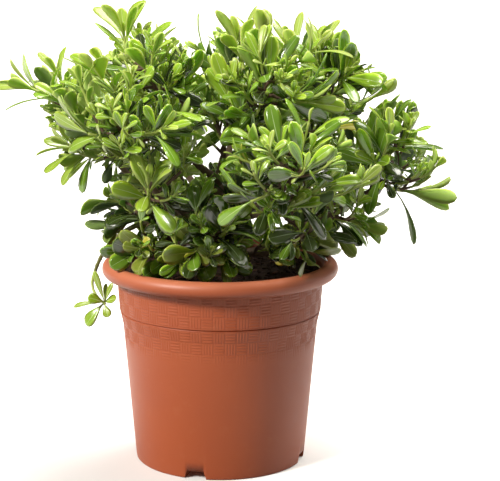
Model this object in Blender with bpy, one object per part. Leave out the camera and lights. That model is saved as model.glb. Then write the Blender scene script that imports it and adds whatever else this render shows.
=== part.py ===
"""A dwarf pittosporum shrub growing in a moulded terracotta-coloured plastic pot.

Metres, +Z up. The origin is the centre of the pot's flat underside, and the front of the
plant faces -Y. The pot, its compost, the trunk, each bough and each mass of foliage is one
solid of its own. A mass is twigs that branch from one stem, with its leaves fused on.
"""

import math
import random
from collections import namedtuple

import bmesh
import bpy
from mathutils import Matrix, Vector
from mathutils.bvhtree import BVHTree

UP = Vector((0, 0, 1))

# The pot, a size sold as 26 cm across its rim.
RIM_RADIUS = 0.130
POT_HEIGHT = 0.2233
ROLL_RADIUS = 0.0089
WALL = 0.0020
FLOOR = 0.0028
BASE_RADIUS = 0.0940
FOOT_ROUNDING = 0.0015
BODY_TOP_RADIUS = 0.1085
BODY_TOP = 0.1645
BAND_FOOT_RADIUS = 0.1115
BAND_FOOT = 0.1688
BAND_TOP_RADIUS = 0.1142
ROLL_END_DEG = -90
ROLL_STEPS = 6
POT_SIDES = 40

# Four drainage channels run in under the wall, each roofed by a housing in the floor.
DRAIN_COUNT = 4
DRAIN_FIRST_DEG = -106.7
DRAIN_WIDTH = 0.024
DRAIN_TOP_WIDTH = 0.019
DRAIN_HEIGHT = 0.0090
DRAIN_INNER_REACH = 0.066
DRAIN_HOLE_WIDTH = 0.012
DRAIN_HOLE_HEIGHT = 0.005
HOUSING_SKIN = 0.0022

# Pieces that touch keep this gap. Round pieces are shaded smooth up to the sharp angle.
SEAT_GAP = 0.0003
SHARP_ANGLE = math.radians(50)

COMPOST_TOP = 0.2080

# The trunk stands on the compost, leans a little and has a gentle bow.
TRUNK_FOOT = Vector((-0.008, 0.004, COMPOST_TOP + SEAT_GAP))
TRUNK_TOP = Vector((0.004, 0.000, 0.338))
TRUNK_BOW = Vector((-0.004, 0.003, 0))
TRUNK_FOOT_RADIUS = 0.0105
TRUNK_TOP_RADIUS = 0.0042
ROOT_FLARE = 0.0055
ROOT_FLARE_HEIGHT = 0.006
TRUNK_SIDES = 12
TRUNK_RINGS = 8

BOUGH_FOOT_RADIUS = 0.0040
BOUGH_TIP_RADIUS = 0.0029
BOUGH_SIDES = 6
BOUGH_STEPS = 6
BOUGH_RISE = 0.40

# The crown is three rings of foliage masses round the trunk, one mass on top of the trunk
# and a sprig that hangs over the rim. In a ring, masses are spread evenly from the first
# one's azimuth, where 0 is +X and 90 the back. Reach is how far a mass goes from its centre.
# Tilt lifts a ring on the left and lowers it on the right. Boughs leave the trunk from a
# foot height upwards, each a climb above another.
Ring = namedtuple("Ring", "name count first_deg out height tilt reach foot climb")
RINGS = (
    Ring("low", 6, 24, 0.108, 0.280, 0.006, 0.068, 0.2165, 0.0026),
    Ring("middle", 6, -6, 0.158, 0.354, 0.030, 0.092, 0.2360, 0.0054),
    Ring("upper", 5, 6, 0.096, 0.417, 0.004, 0.082, 0.2750, 0.0105),
)
TOP_CENTRE = Vector((0.022, 0.004, 0.408))
TOP_REACH = 0.068
SPRIG_CENTRE = Vector((-0.147, 0.042, 0.184))
SPRIG_REACH = 0.032
SPRIG_LEAF = 0.036
SPRIG_SHOOTS = 5
SPRIG_AXIS = Vector((-0.35, 0.10, -1)).normalized()
SPRIG_FOOT = 0.2370
SPRIG_ARCH = 0.028

# The crown is wider than deep and reaches further on the right. Low masses at the front stay
# nearer to the trunk, over the compost, and hang lower.
WIDEN = 1.07
RIGHT_REACH = 0.014
FRONT_PULL_IN = 0.036
FRONT_DROP = 0.018

# A mass has a stem along its axis and shoots that end spread over its outer side.
STEM_BACK = 0.56
STEM_ON = 0.22
STEM_SIDES = 4
STEM_FOOT_RADIUS = 0.0027
STEM_TIP_RADIUS = 0.0017
SHOOTS = 8
SHOOT_SPREAD_DEG = 128
SHOOT_RISE = 0.45
SHOOT_VARIES = (0.80, 1.18)
SHORT_OF_REACH = 0.66
SHOOT_SIDES = 3
SHOOT_STEPS = 2
SHOOT_FOOT_RADIUS = 0.0017
SHOOT_TIP_RADIUS = 0.0012
GOLDEN_TURN = math.radians(137.508)

# A whorl is the leaves at a shoot's end, from short upright ones to long spreading ones.
# The solid has every second one of them.
WHORL_LEAVES = 8
WHORL_STRIDE = 2
WHORL_FIRST = 0.0015
WHORL_PITCH = 0.0034
LEAN_INNER_DEG = 16
LEAN_OUTER_DEG = 74
LEAN_TRIES = (1, 0.72, 0.45)
TURN_TRIES_DEG = (0, 38, -38, 76)

LEAF_LENGTH = 0.055
LEAF_SHORTEST = 0.62
LEAF_WIDTH = 0.50
LEAF_WIDEST_AT = 0.64
LEAF_THICKNESS = 0.0015
LEAF_THICKEST_AT = 0.40

# Leaves and twigs keep this far from other masses, and from limbs and the pot.
CELL_GAP = 0.0004
LIMB_GAP = 0.0012

# A union that keeps less than this share of its parts' volume has failed.
UNION_KEEPS = 0.75


def clear_scene():
    for obj in list(bpy.data.objects):
        bpy.data.objects.remove(obj, do_unlink=True)


def material(name, colour, roughness):
    """A Principled material of one colour."""
    made = bpy.data.materials.new(name)
    made.use_nodes = True
    shader = made.node_tree.nodes["Principled BSDF"]
    shader.inputs["Base Color"].default_value = (*colour, 1)
    shader.inputs["Roughness"].default_value = roughness
    shader.inputs["Metallic"].default_value = 0
    return made


def object_of(name, work, finish=None):
    """An object made of a bmesh, with its normals pointing out."""
    bmesh.ops.recalc_face_normals(work, faces=work.faces)
    mesh = bpy.data.meshes.new(name)
    work.to_mesh(mesh)
    work.free()
    obj = bpy.data.objects.new(name, mesh)
    bpy.context.scene.collection.objects.link(obj)
    if finish:
        mesh.materials.append(finish)
    return obj


def object_from(name, points, faces, finish=None):
    """An object made of points and faces."""
    work = bmesh.new()
    corners = [work.verts.new(p) for p in points]
    for face in faces:
        work.faces.new([corners[i] for i in face])
    return object_of(name, work, finish)


def shade_round(obj):
    """Smooth shading, with an edge kept where the surface turns sharply."""
    obj.data.shade_smooth()
    obj.data.set_sharp_from_angle(angle=SHARP_ANGLE)


def turned(name, profile, sides, finish=None):
    """A closed profile of (radius, height) points spun round the Z axis."""
    work = bmesh.new()
    corners = [work.verts.new((r, 0, z)) for r, z in profile]
    edges = [work.edges.new((a, b)) for a, b in zip(corners, corners[1:] + corners[:1])]
    bmesh.ops.spin(
        work, geom=corners + edges, cent=(0, 0, 0), axis=UP, angle=math.tau, steps=sides, use_merge=True
    )
    bmesh.ops.remove_doubles(work, verts=work.verts, dist=1e-6)
    # The profile's edge along the axis has swept no face.
    loose = [e for e in work.edges if not e.link_faces]
    bmesh.ops.delete(work, geom=loose, context="EDGES")
    return object_of(name, work, finish)


def side_frame(axis):
    """Two unit vectors square to the axis and to each other."""
    helper = Vector((1, 0, 0)) if abs(axis.z) > 0.9 else UP
    first = axis.cross(helper).normalized()
    return first, axis.cross(first).normalized()


def limb_mesh(route, radii, sides):
    """Points and faces of a tapering tube round a route, with a flat cap at each end."""
    points, faces = [], []
    first, _ = side_frame((route[1] - route[0]).normalized())
    last = len(route) - 1
    for i, centre in enumerate(route):
        along = (route[min(i + 1, last)] - route[max(i - 1, 0)]).normalized()
        first = (first - along * first.dot(along)).normalized()
        second = along.cross(first)
        for k in range(sides):
            turn = math.tau * k / sides
            points.append(centre + (first * math.cos(turn) + second * math.sin(turn)) * radii[i])
    for i in range(last):
        for k in range(sides):
            a, b = i * sides + k, i * sides + (k + 1) % sides
            faces.append((a, b, b + sides, a + sides))
    faces.append(tuple(reversed(range(sides))))
    faces.append(tuple(last * sides + k for k in range(sides)))
    return points, faces


def bezier(controls, t):
    """The point at share t of a Bezier curve, by repeated mixing of its control points."""
    points = list(controls)
    while len(points) > 1:
        points = [a.lerp(b, t) for a, b in zip(points, points[1:])]
    return points[0]


def taper(foot, tip, count):
    return [foot + (tip - foot) * i / (count - 1) for i in range(count)]


def cut(target, cutter, operation="DIFFERENCE"):
    """Applies a Boolean and removes the object that it used."""
    modifier = target.modifiers.new("cut", "BOOLEAN")
    modifier.operation = operation
    modifier.solver = "EXACT"
    modifier.object = cutter
    settle(target)
    bpy.data.objects.remove(cutter, do_unlink=True)


def settle(obj):
    """Replaces an object's mesh with what its modifiers make of it."""
    bpy.context.view_layer.update()
    graph = bpy.context.evaluated_depsgraph_get()
    made = bpy.data.meshes.new_from_object(obj.evaluated_get(graph))
    obj.modifiers.clear()
    obj.data = made


# The pot.


def body_radius(height):
    """Outer radius of the pot's wall at a height, below the band and in it."""
    if height <= BODY_TOP:
        return BASE_RADIUS + (BODY_TOP_RADIUS - BASE_RADIUS) * height / BODY_TOP
    share = (height - BAND_FOOT) / (POT_HEIGHT - ROLL_RADIUS - BAND_FOOT)
    return BAND_FOOT_RADIUS + (BAND_TOP_RADIUS - BAND_FOOT_RADIUS) * max(0, share)


def pot_profile():
    """The wall, the band's step and the rolled rim, outside then inside, to the floor."""
    roll_centre = Vector((RIM_RADIUS - ROLL_RADIUS, POT_HEIGHT - ROLL_RADIUS))

    def arc(radius, start_deg, end_deg):
        for i in range(ROLL_STEPS + 1):
            turn = math.radians(start_deg + (end_deg - start_deg) * i / ROLL_STEPS)
            yield (roll_centre.x + radius * math.cos(turn), roll_centre.y + radius * math.sin(turn))

    profile = [
        (0, 0),
        (BASE_RADIUS - FOOT_ROUNDING, 0),
        (body_radius(FOOT_ROUNDING), FOOT_ROUNDING),
        (BODY_TOP_RADIUS, BODY_TOP),
        (BAND_FOOT_RADIUS, BAND_FOOT),
    ]
    profile += arc(ROLL_RADIUS - WALL, 180, ROLL_END_DEG)
    profile += list(arc(ROLL_RADIUS, ROLL_END_DEG, 180))
    profile += [
        (BAND_FOOT_RADIUS - WALL, BAND_FOOT + WALL),
        (BODY_TOP_RADIUS - WALL, BODY_TOP),
        (body_radius(FLOOR) - WALL, FLOOR),
        (0, FLOOR),
    ]
    return profile


def drain_block(azimuth_deg, reach_in, reach_out, low, high, low_width, high_width):
    """A straight-sided block across the wall, narrower at its top, turned to an azimuth."""
    points = []
    for radius in (reach_in, reach_out):
        for z, width in ((low, low_width), (high, high_width)):
            points += [(radius, -width / 2, z), (radius, width / 2, z)]
    faces = [(0, 1, 3, 2), (4, 6, 7, 5), (0, 4, 5, 1), (2, 3, 7, 6), (0, 2, 6, 4), (1, 5, 7, 3)]
    turn = Matrix.Rotation(math.radians(azimuth_deg), 4, "Z")
    return object_from("block", [turn @ Vector(p) for p in points], faces)


def housing(azimuth_deg, grow=0.0):
    """The hollow hump in the floor over one drainage channel, as a solid block."""
    skin = HOUSING_SKIN + grow
    return drain_block(
        azimuth_deg,
        DRAIN_INNER_REACH - skin,
        BASE_RADIUS - WALL / 2 + (WALL if grow else 0),
        FLOOR / 2 if not grow else 0,
        DRAIN_HEIGHT + skin,
        DRAIN_WIDTH + 2 * skin,
        DRAIN_TOP_WIDTH + 2 * skin,
    )


def drain_azimuths():
    return [DRAIN_FIRST_DEG + 360 * i / DRAIN_COUNT for i in range(DRAIN_COUNT)]


def make_pot(finish):
    pot = turned("pot", pot_profile(), POT_SIDES, finish)
    beyond = 2 * WALL
    for azimuth in drain_azimuths():
        cut(pot, housing(azimuth), "UNION")
        channel = drain_block(
            azimuth,
            DRAIN_INNER_REACH,
            BASE_RADIUS + beyond,
            -beyond,
            DRAIN_HEIGHT,
            DRAIN_WIDTH,
            DRAIN_TOP_WIDTH,
        )
        cut(pot, channel)
        hole = drain_block(
            azimuth,
            DRAIN_INNER_REACH - 2 * HOUSING_SKIN,
            DRAIN_INNER_REACH + beyond,
            FLOOR,
            FLOOR + DRAIN_HOLE_HEIGHT,
            DRAIN_HOLE_WIDTH,
            DRAIN_HOLE_WIDTH,
        )
        cut(pot, hole)
    shade_round(pot)


def make_compost(finish):
    inset = WALL + SEAT_GAP
    profile = [
        (0, FLOOR + SEAT_GAP),
        (body_radius(FLOOR) - inset, FLOOR + SEAT_GAP),
        (BODY_TOP_RADIUS - inset, BODY_TOP),
        (BAND_FOOT_RADIUS - inset, BAND_FOOT + WALL),
        (body_radius(COMPOST_TOP) - inset, COMPOST_TOP),
        (0, COMPOST_TOP),
    ]
    compost = turned("compost", profile, POT_SIDES, finish)
    for azimuth in drain_azimuths():
        cut(compost, housing(azimuth, SEAT_GAP))
    shade_round(compost)


# The trunk and the boughs.


def trunk_point(height):
    """The trunk's axis at a height, on a gentle bow between its foot and its top."""
    share = (height - TRUNK_FOOT.z) / (TRUNK_TOP.z - TRUNK_FOOT.z)
    return TRUNK_FOOT.lerp(TRUNK_TOP, share) + TRUNK_BOW * math.sin(math.pi * share)


def trunk_radius(height):
    """Straight taper, plus a flare that fades out above the foot."""
    above = height - TRUNK_FOOT.z
    share = above / (TRUNK_TOP.z - TRUNK_FOOT.z)
    flare = ROOT_FLARE * math.exp(-above / ROOT_FLARE_HEIGHT)
    return TRUNK_FOOT_RADIUS + (TRUNK_TOP_RADIUS - TRUNK_FOOT_RADIUS) * share + flare


def trunk_tube(grow=0.0):
    """Points and faces of the trunk, its rings closer together at the flare."""
    tall = TRUNK_TOP.z - TRUNK_FOOT.z
    heights = [TRUNK_FOOT.z + tall * (i / TRUNK_RINGS) ** 1.6 for i in range(TRUNK_RINGS + 1)]
    route = [trunk_point(z) for z in heights]
    radii = [trunk_radius(z) + grow for z in heights]
    points, faces = limb_mesh(route, radii, TRUNK_SIDES)
    # The foot and the top are flat level cuts.
    for i in range(TRUNK_SIDES):
        points[i].z = TRUNK_FOOT.z - grow
        points[-1 - i].z = TRUNK_TOP.z + grow
    return points, faces


class Mass:
    """One mass of foliage: its place in the crown and the bough that carries it."""

    leaf = LEAF_LENGTH
    shoots = SHOOTS
    arch = 0.0

    def __init__(self, name, centre, reach, foot_height, axis=None):
        self.name = name
        self.centre = centre
        self.reach = reach
        foot = trunk_point(foot_height)
        self.axis = axis or ((centre - foot).normalized() + UP * BOUGH_RISE).normalized()
        self.tip = centre - self.axis * reach * STEM_BACK
        away = Vector((centre.x - foot.x, centre.y - foot.y, 0)).normalized()
        span = (self.tip - foot).length
        leave = foot + (away + UP * BOUGH_RISE).normalized() * span * 0.4 + UP * self.arch
        enter = self.tip - self.axis * span * 0.34 + UP * self.arch * 0.3
        self.route = [bezier([foot, leave, enter, self.tip], s) for s in taper(0, 1, BOUGH_STEPS + 1)]

    def bough(self, grow=0.0):
        radii = [r + grow for r in taper(BOUGH_FOOT_RADIUS, BOUGH_TIP_RADIUS, len(self.route))]
        return limb_mesh(self.route, radii, BOUGH_SIDES)

    def stem_route(self):
        """Straight on from just past the bough's tip, so that the two cut faces are parallel."""
        heading = (self.route[-1] - self.route[-2]).normalized()
        foot = self.tip + heading * SEAT_GAP
        end = self.tip + heading * self.reach * (STEM_BACK + STEM_ON)
        return [foot.lerp(end, s) for s in (0, 0.5, 1)]

    def stem(self, grow=0.0):
        route = self.stem_route()
        radii = [r + grow for r in taper(STEM_FOOT_RADIUS, STEM_TIP_RADIUS, len(route))]
        return limb_mesh(route, radii, STEM_SIDES)


class Sprig(Mass):
    """A small mass on a bough that arches over the pot's rim."""

    leaf = SPRIG_LEAF
    shoots = SPRIG_SHOOTS
    arch = SPRIG_ARCH


class TopMass(Mass):
    """The mass that the trunk itself carries, on its top."""

    def __init__(self, name, centre, reach):
        self.name = name
        self.centre = centre
        self.reach = reach
        self.axis = (centre - TRUNK_TOP).normalized()
        self.route = None

    def stem_route(self):
        """Straight up off the trunk's level top, and then to the middle of the mass."""
        foot = TRUNK_TOP + UP * SEAT_GAP
        end = self.centre + self.axis * self.reach * STEM_ON
        return [foot, foot + UP * (end.z - foot.z) * 0.3, end]


def crown_masses():
    """Every mass, from the lowest ring to the top."""
    masses = []
    for ring in RINGS:
        for i in range(ring.count):
            azimuth = math.radians(ring.first_deg + 360 * i / ring.count)
            right, back = math.cos(azimuth), math.sin(azimuth)
            out = ring.out + RIGHT_REACH * right
            height = ring.height - ring.tilt * right
            if ring.name == "low" and back < 0:
                out += FRONT_PULL_IN * back
                height += FRONT_DROP * back
            centre = Vector((out * right * WIDEN, out * back, height))
            # Every second mass is higher on the trunk than its two neighbours.
            foot = ring.foot + ring.climb * (i // 2 + (i % 2) * ring.count / 2)
            masses.append(Mass(f"{ring.name}_{i + 1}", centre, ring.reach, foot))
    masses.append(TopMass("top", TOP_CENTRE, TOP_REACH))
    masses.append(Sprig("sprig", SPRIG_CENTRE, SPRIG_REACH, SPRIG_FOOT, SPRIG_AXIS))
    return masses


def make_limbs(masses, bark):
    shade_round(object_from("trunk", *trunk_tube(), bark))
    for mass in masses:
        if mass.route:
            bough = object_from("bough_" + mass.name, *mass.bough(), bark)
            cut(bough, object_from("trunk_grown", *trunk_tube(SEAT_GAP)))
            shade_round(bough)


# The foliage.


def chance(low, high, *keys):
    """A number between low and high that depends on the keys alone."""
    return random.Random(repr(keys)).uniform(low, high)


def in_cell(mass, masses, point, room):
    """Whether a ball round a point lies in the mass's own space.

    The space between two masses is shared out by a plane, nearer to the smaller one.
    """
    for other in masses:
        if other is mass:
            continue
        between = other.centre - mass.centre
        excess = (point - other.centre).length_squared - other.reach**2
        excess -= (point - mass.centre).length_squared - mass.reach**2
        if excess / (2 * between.length) < room + CELL_GAP / 2:
            return False
    return True


def along(route, back):
    """The point at a distance back from a route's end, and the direction there."""
    for i in range(len(route) - 1, 0, -1):
        step = route[i] - route[i - 1]
        if back <= step.length or i == 1:
            direction = step.normalized()
            return route[i] - direction * back, direction
        back -= step.length


def shoot_routes(mass):
    """The stem's route and then those of the shoots, their ends spread by the golden angle."""
    stem = mass.stem_route()
    routes = [stem]
    first, second = side_frame(mass.axis)
    for k in range(1, mass.shoots):
        level = k / mass.shoots
        polar = math.acos(1 - level * (1 - math.cos(math.radians(SHOOT_SPREAD_DEG))))
        turn = GOLDEN_TURN * k + chance(0, math.tau, mass.name)
        side = first * math.cos(turn) + second * math.sin(turn)
        out = mass.axis * math.cos(polar) + side * math.sin(polar)
        length = (mass.reach - mass.leaf * SHORT_OF_REACH) * chance(*SHOOT_VARIES, mass.name, k)
        end = mass.centre + out * length
        foot = stem[0].lerp(stem[-1], 0.92 - 0.62 * level)
        span = (end - foot).length
        heading = (out + UP * SHOOT_RISE).normalized()
        controls = [foot, foot + mass.axis * span * 0.3, end - heading * span * 0.4, end]
        routes.append([bezier(controls, s) for s in taper(0, 1, SHOOT_STEPS + 1)])
    return routes


def leaf_mesh(root, direction, facing, length, width):
    """An eight-faced leaf: root, tip and two widest points, and a point on each face."""
    across = direction.cross(facing).normalized() * width / 2
    middle = root + direction * length * LEAF_WIDEST_AT
    ridge = root + direction * length * LEAF_THICKEST_AT
    thick = facing * LEAF_THICKNESS / 2
    tip = root + direction * length
    points = [root, middle + across, tip, middle - across, ridge + thick, ridge - thick]
    faces = [(i, (i + 1) % 4, 4) for i in range(4)]
    faces += [((i + 1) % 4, i, 5) for i in range(4)]
    return points, faces


def whorl(mass, shoot, route):
    """For each of a whorl's leaves in the solid: its root, length and tries at a heading."""
    for j in range(0, WHORL_LEAVES, WHORL_STRIDE):
        share = j / (WHORL_LEAVES - 1)
        root, along_shoot = along(route, WHORL_FIRST + WHORL_PITCH * j)
        first, second = side_frame(along_shoot)
        turn = GOLDEN_TURN * j + chance(0, math.tau, mass.name, shoot, "turn")
        lean = LEAN_INNER_DEG + (LEAN_OUTER_DEG - LEAN_INNER_DEG) * share
        lean = math.radians(lean + chance(-7, 7, mass.name, shoot, j, "lean"))
        length = mass.leaf * (LEAF_SHORTEST + (1 - LEAF_SHORTEST) * math.sin(math.pi / 2 * share))
        length *= chance(0.88, 1.14, mass.name, shoot, j, "length")
        headings = []
        for lean_share in LEAN_TRIES:
            for turn_by in TURN_TRIES_DEG:
                around = turn + math.radians(turn_by)
                side = first * math.cos(around) + second * math.sin(around)
                off = lean * lean_share
                headings.append(along_shoot * math.cos(off) + side * math.sin(off))
        yield root, along_shoot, length, headings


def grow_mass(mass, masses, obstacles):
    """Meshes of a mass's stem, shoots and leaves, each as points and faces."""
    routes = shoot_routes(mass)
    tubes = [mass.stem()]
    kept = [routes[0]]
    for route in routes[1:]:
        tube = limb_mesh(route, taper(SHOOT_FOOT_RADIUS, SHOOT_TIP_RADIUS, len(route)), SHOOT_SIDES)
        inside = all(in_cell(mass, masses, p, SHOOT_FOOT_RADIUS) for p in route)
        if inside and not touches(tube, obstacles):
            tubes.append(tube)
            kept.append(route)
    trees = [BVHTree.FromPolygons(*tube) for tube in tubes]
    leaves = []
    for k, route in enumerate(kept):
        others = obstacles + trees[:k] + trees[k + 1 :]
        others += [BVHTree.FromPolygons(*leaf) for leaf in leaves]
        for root, along_shoot, length, headings in whorl(mass, routes.index(route), route):
            for heading in headings:
                facing = (along_shoot - heading * along_shoot.dot(heading)).normalized()
                leaf = leaf_mesh(root, heading, facing, length, length * LEAF_WIDTH)
                if all(in_cell(mass, masses, p, 0) for p in leaf[0]) and not touches(leaf, others):
                    leaves.append(leaf)
                    break
    return tubes + leaves


def touches(shape, trees):
    tree = BVHTree.FromPolygons(*shape)
    return any(tree.overlap(other) for other in trees)


def pot_guard():
    """The outside of the pot and the top of its compost, grown by the gap that leaves keep."""
    turns = [math.radians(a) for a in range(180, -91, -30)]
    centre = Vector((RIM_RADIUS - ROLL_RADIUS, POT_HEIGHT - ROLL_RADIUS))
    roll = ROLL_RADIUS + LIMB_GAP
    profile = [(0, COMPOST_TOP + LIMB_GAP), (centre.x - roll, COMPOST_TOP + LIMB_GAP)]
    profile += [(centre.x + roll * math.cos(a), centre.y + roll * math.sin(a)) for a in turns]
    profile += [(BAND_TOP_RADIUS + LIMB_GAP, centre.y - roll), (BASE_RADIUS + LIMB_GAP, 0), (0, 0)]
    guard = turned("guard", profile, POT_SIDES)
    points = [v.co for v in guard.data.vertices]
    tree = BVHTree.FromPolygons(points, [f.vertices[:] for f in guard.data.polygons])
    bpy.data.objects.remove(guard, do_unlink=True)
    return tree


def fuse(name, parts, finish):
    """One closed body from overlapping parts, by the solver that keeps most of their volume."""
    loose = 0
    group = bpy.data.collections.new(name)
    bpy.context.scene.collection.children.link(group)
    for points, faces in parts[1:]:
        piece = object_from("piece", points, faces)
        bpy.context.scene.collection.objects.unlink(piece)
        group.objects.link(piece)
        loose += volume(piece.data)
    for solver in ("EXACT", "MANIFOLD"):
        body = object_from(name, *parts[0], finish)
        union = body.modifiers.new("union", "BOOLEAN")
        union.operation = "UNION"
        union.operand_type = "COLLECTION"
        union.collection = group
        union.solver = solver
        settle(body)
        keep_largest(body.data)
        if volume(body.data) > UNION_KEEPS * loose:
            break
        if solver == "EXACT":
            bpy.data.objects.remove(body, do_unlink=True)
    for piece in list(group.objects):
        bpy.data.objects.remove(piece, do_unlink=True)
    bpy.data.collections.remove(group)


def volume(mesh):
    work = bmesh.new()
    work.from_mesh(mesh)
    amount = work.calc_volume()
    work.free()
    return amount


def keep_largest(mesh):
    """Keeps the connected shell with the most faces."""
    work = bmesh.new()
    work.from_mesh(mesh)
    unseen = set(work.verts)
    shells = []
    while unseen:
        shell, edge = set(), [unseen.pop()]
        while edge:
            vert = edge.pop()
            shell.add(vert)
            near = {e.other_vert(vert) for e in vert.link_edges} & unseen
            unseen -= near
            edge += near
        shells.append(shell)
    largest = max(shells, key=len)
    bmesh.ops.delete(work, geom=[v for v in work.verts if v not in largest], context="VERTS")
    work.to_mesh(mesh)
    work.free()


def make_foliage(masses, finish):
    guard = pot_guard()
    boughs = [BVHTree.FromPolygons(*m.bough(LIMB_GAP)) for m in masses if m.route]
    limbs = [guard, BVHTree.FromPolygons(*trunk_tube(LIMB_GAP)), *boughs]
    stems = {m.name: BVHTree.FromPolygons(*m.stem(LIMB_GAP)) for m in masses}
    for mass in masses:
        obstacles = limbs + [tree for name, tree in stems.items() if name != mass.name]
        fuse("foliage_" + mass.name, grow_mass(mass, masses, obstacles), finish)


def main():
    clear_scene()
    make_pot(material("terracotta plastic", (0.50, 0.17, 0.085), 0.5))
    make_compost(material("compost", (0.035, 0.022, 0.015), 0.95))
    masses = crown_masses()
    make_limbs(masses, material("bark", (0.16, 0.11, 0.075), 0.85))
    make_foliage(masses, material("leaves", (0.14, 0.32, 0.035), 0.35))


if __name__ == "__main__":
    main()
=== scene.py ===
"""The looks of a potted dwarf pittosporum: the view and light, the pot, the compost, the woody limbs
and the twigs and leaves that grow on from them. Metres, +Z up, the front of the plant faces -Y."""

import itertools
import math
import random
from collections import namedtuple

import bpy
import numpy as np
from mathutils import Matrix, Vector
from mathutils.bvhtree import BVHTree


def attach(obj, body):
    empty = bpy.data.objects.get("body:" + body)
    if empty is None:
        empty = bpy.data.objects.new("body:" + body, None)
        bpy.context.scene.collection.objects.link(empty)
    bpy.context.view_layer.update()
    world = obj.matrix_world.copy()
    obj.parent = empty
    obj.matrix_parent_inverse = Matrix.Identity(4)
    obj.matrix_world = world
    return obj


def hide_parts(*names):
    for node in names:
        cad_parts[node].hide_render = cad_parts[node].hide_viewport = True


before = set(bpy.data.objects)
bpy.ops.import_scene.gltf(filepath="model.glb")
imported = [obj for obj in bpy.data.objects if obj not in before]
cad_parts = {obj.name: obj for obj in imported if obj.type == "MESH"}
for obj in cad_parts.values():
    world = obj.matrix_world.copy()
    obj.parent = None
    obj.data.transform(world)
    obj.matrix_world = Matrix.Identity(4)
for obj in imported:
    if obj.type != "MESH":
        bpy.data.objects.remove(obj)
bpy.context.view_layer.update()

# The view
# A long lens looks down on the plant a little. It is turned to the right, because the pot stands
# left of the picture's middle, and rolled by a fifth of a degree.

PHOTO_WIDTH = 500
FOCAL_LENGTH_PX = 1573
SENSOR_WIDTH_MM = 36
CAMERA_PLACE = (0, -1.70, 0.573)
CAMERA_DOWN_DEG = 10.96
CAMERA_RIGHT_DEG = 1.10
CAMERA_ROLL_DEG = 0.21

lens = bpy.data.cameras.new("view")
lens.sensor_width = SENSOR_WIDTH_MM
lens.lens = FOCAL_LENGTH_PX / PHOTO_WIDTH * SENSOR_WIDTH_MM
camera = bpy.data.objects.new("view", lens)
camera.location = CAMERA_PLACE
camera.rotation_euler = [
    math.radians(a) for a in (90 - CAMERA_DOWN_DEG, 0, -CAMERA_RIGHT_DEG)
]
camera.rotation_euler.rotate_axis("Z", math.radians(CAMERA_ROLL_DEG))
bpy.context.scene.collection.objects.link(camera)
bpy.context.scene.camera = camera
bpy.context.scene.view_settings.view_transform = "Standard"

# The light
# A white studio. A lamp high on the left in front casts the shadows, a broad one overhead gives
# the leaves their gloss, and weak ones at both sides and the white walls fill in. Each lamp is so
# far away that it is drawn as a sun, as wide as the lamp looks from here.

# A lamp: name, how far round it stands from the back to the right and how high, in degrees, its
# strength and its width.
LAMPS = (
    ("key_light", -127, 36, 4.2, 16),
    ("top_light", 50, 66, 4.9, 46),
    ("right_light", 77, 21, 0.40, 34),
    ("left_light", -82, 14, 0.25, 40),
)
ROOM_STRENGTH = 0.155


def linear(hex_colour):
    """The linear RGBA of an sRGB hex colour: a channel c becomes ((c + 0.055) / 1.055) ** 2.4,
    or c / 12.92 where it is below 0.04045."""
    channels = [int(hex_colour[i : i + 2], 16) / 255 for i in (1, 3, 5)]
    return (*[c / 12.92 if c < 0.04045 else ((c + 0.055) / 1.055) ** 2.4 for c in channels], 1)


for name, turn, height, strength, width in LAMPS:
    lamp = bpy.data.lights.new(name, "SUN")
    lamp.energy = strength
    lamp.angle = math.radians(width)
    lamp.color = linear("#FFFBF4")[:3]
    holder = bpy.data.objects.new(name, lamp)
    holder.rotation_euler = (math.radians(90 - height), 0, math.radians(180 - turn))
    bpy.context.scene.collection.objects.link(holder)

room = bpy.data.worlds.new("room")
room.use_nodes = True
room.node_tree.nodes["Background"].inputs["Color"].default_value = linear("#FFFBF6")
room.node_tree.nodes["Background"].inputs["Strength"].default_value = ROOM_STRENGTH
bpy.context.scene.world = room

# The floor
# A wide roll of matt white paper, which runs on past the picture's upper edge. It throws no light
# back, or the pot's foot and the undersides of the leaves would get too pale.

FLOOR_HALF = 30


def node(material, kind, **sockets):
    """Adds a node, its sockets' names spaced by underscores. A socket's value is a plain one, an
    output, or a node whose first output it is linked from."""
    made = material.node_tree.nodes.new("ShaderNode" + kind)
    for name, value in sockets.items():
        socket = made.inputs[name.replace("_", " ")]
        if isinstance(value, bpy.types.Node):
            value = value.outputs[0]
        if isinstance(value, bpy.types.NodeSocket):
            material.node_tree.links.new(value, socket)
        else:
            socket.default_value = value
    return made


def new_finish(name):
    """An empty node material. Its shader and what feeds it are added by its section."""
    made = bpy.data.materials.new(name)
    made.use_nodes = True
    made.node_tree.nodes.clear()
    return made


def shade(material, **sockets):
    """Gives a material its one Principled shader."""
    shader = node(material, "BsdfPrincipled", **sockets)
    node(material, "OutputMaterial", Surface=shader)
    return material


def add_piece(name, points, faces, finishes, worn=None):
    """A mesh object at the origin, smooth, from points and faces; worn is each face's finish."""
    mesh = bpy.data.meshes.new(name)
    mesh.from_pydata(points, [], faces)
    mesh.shade_smooth()
    for finish in finishes:
        mesh.materials.append(finish)
    if worn is not None:
        mesh.polygons.foreach_set("material_index", np.asarray(worn, dtype=np.int32))
    piece = bpy.data.objects.new(name, mesh)
    bpy.context.scene.collection.objects.link(piece)
    return piece


paper = shade(new_finish("matt_white_paper"), Base_Color=linear("#F4F4F3"), Roughness=0.9)
floor_corners = [(x * FLOOR_HALF, y * FLOOR_HALF, 0) for x, y in ((-1, -1), (1, -1), (1, 1), (-1, 1))]
floor = add_piece("floor", floor_corners, [(0, 1, 2, 3)], [paper])
floor.visible_diffuse = False

# The pot
# A nursery pot, injection moulded in terracotta-coloured polypropylene, with a rolled rim, a band
# with a basket-weave of fine ribs that runs on below its step, and four channels under its foot.

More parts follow.
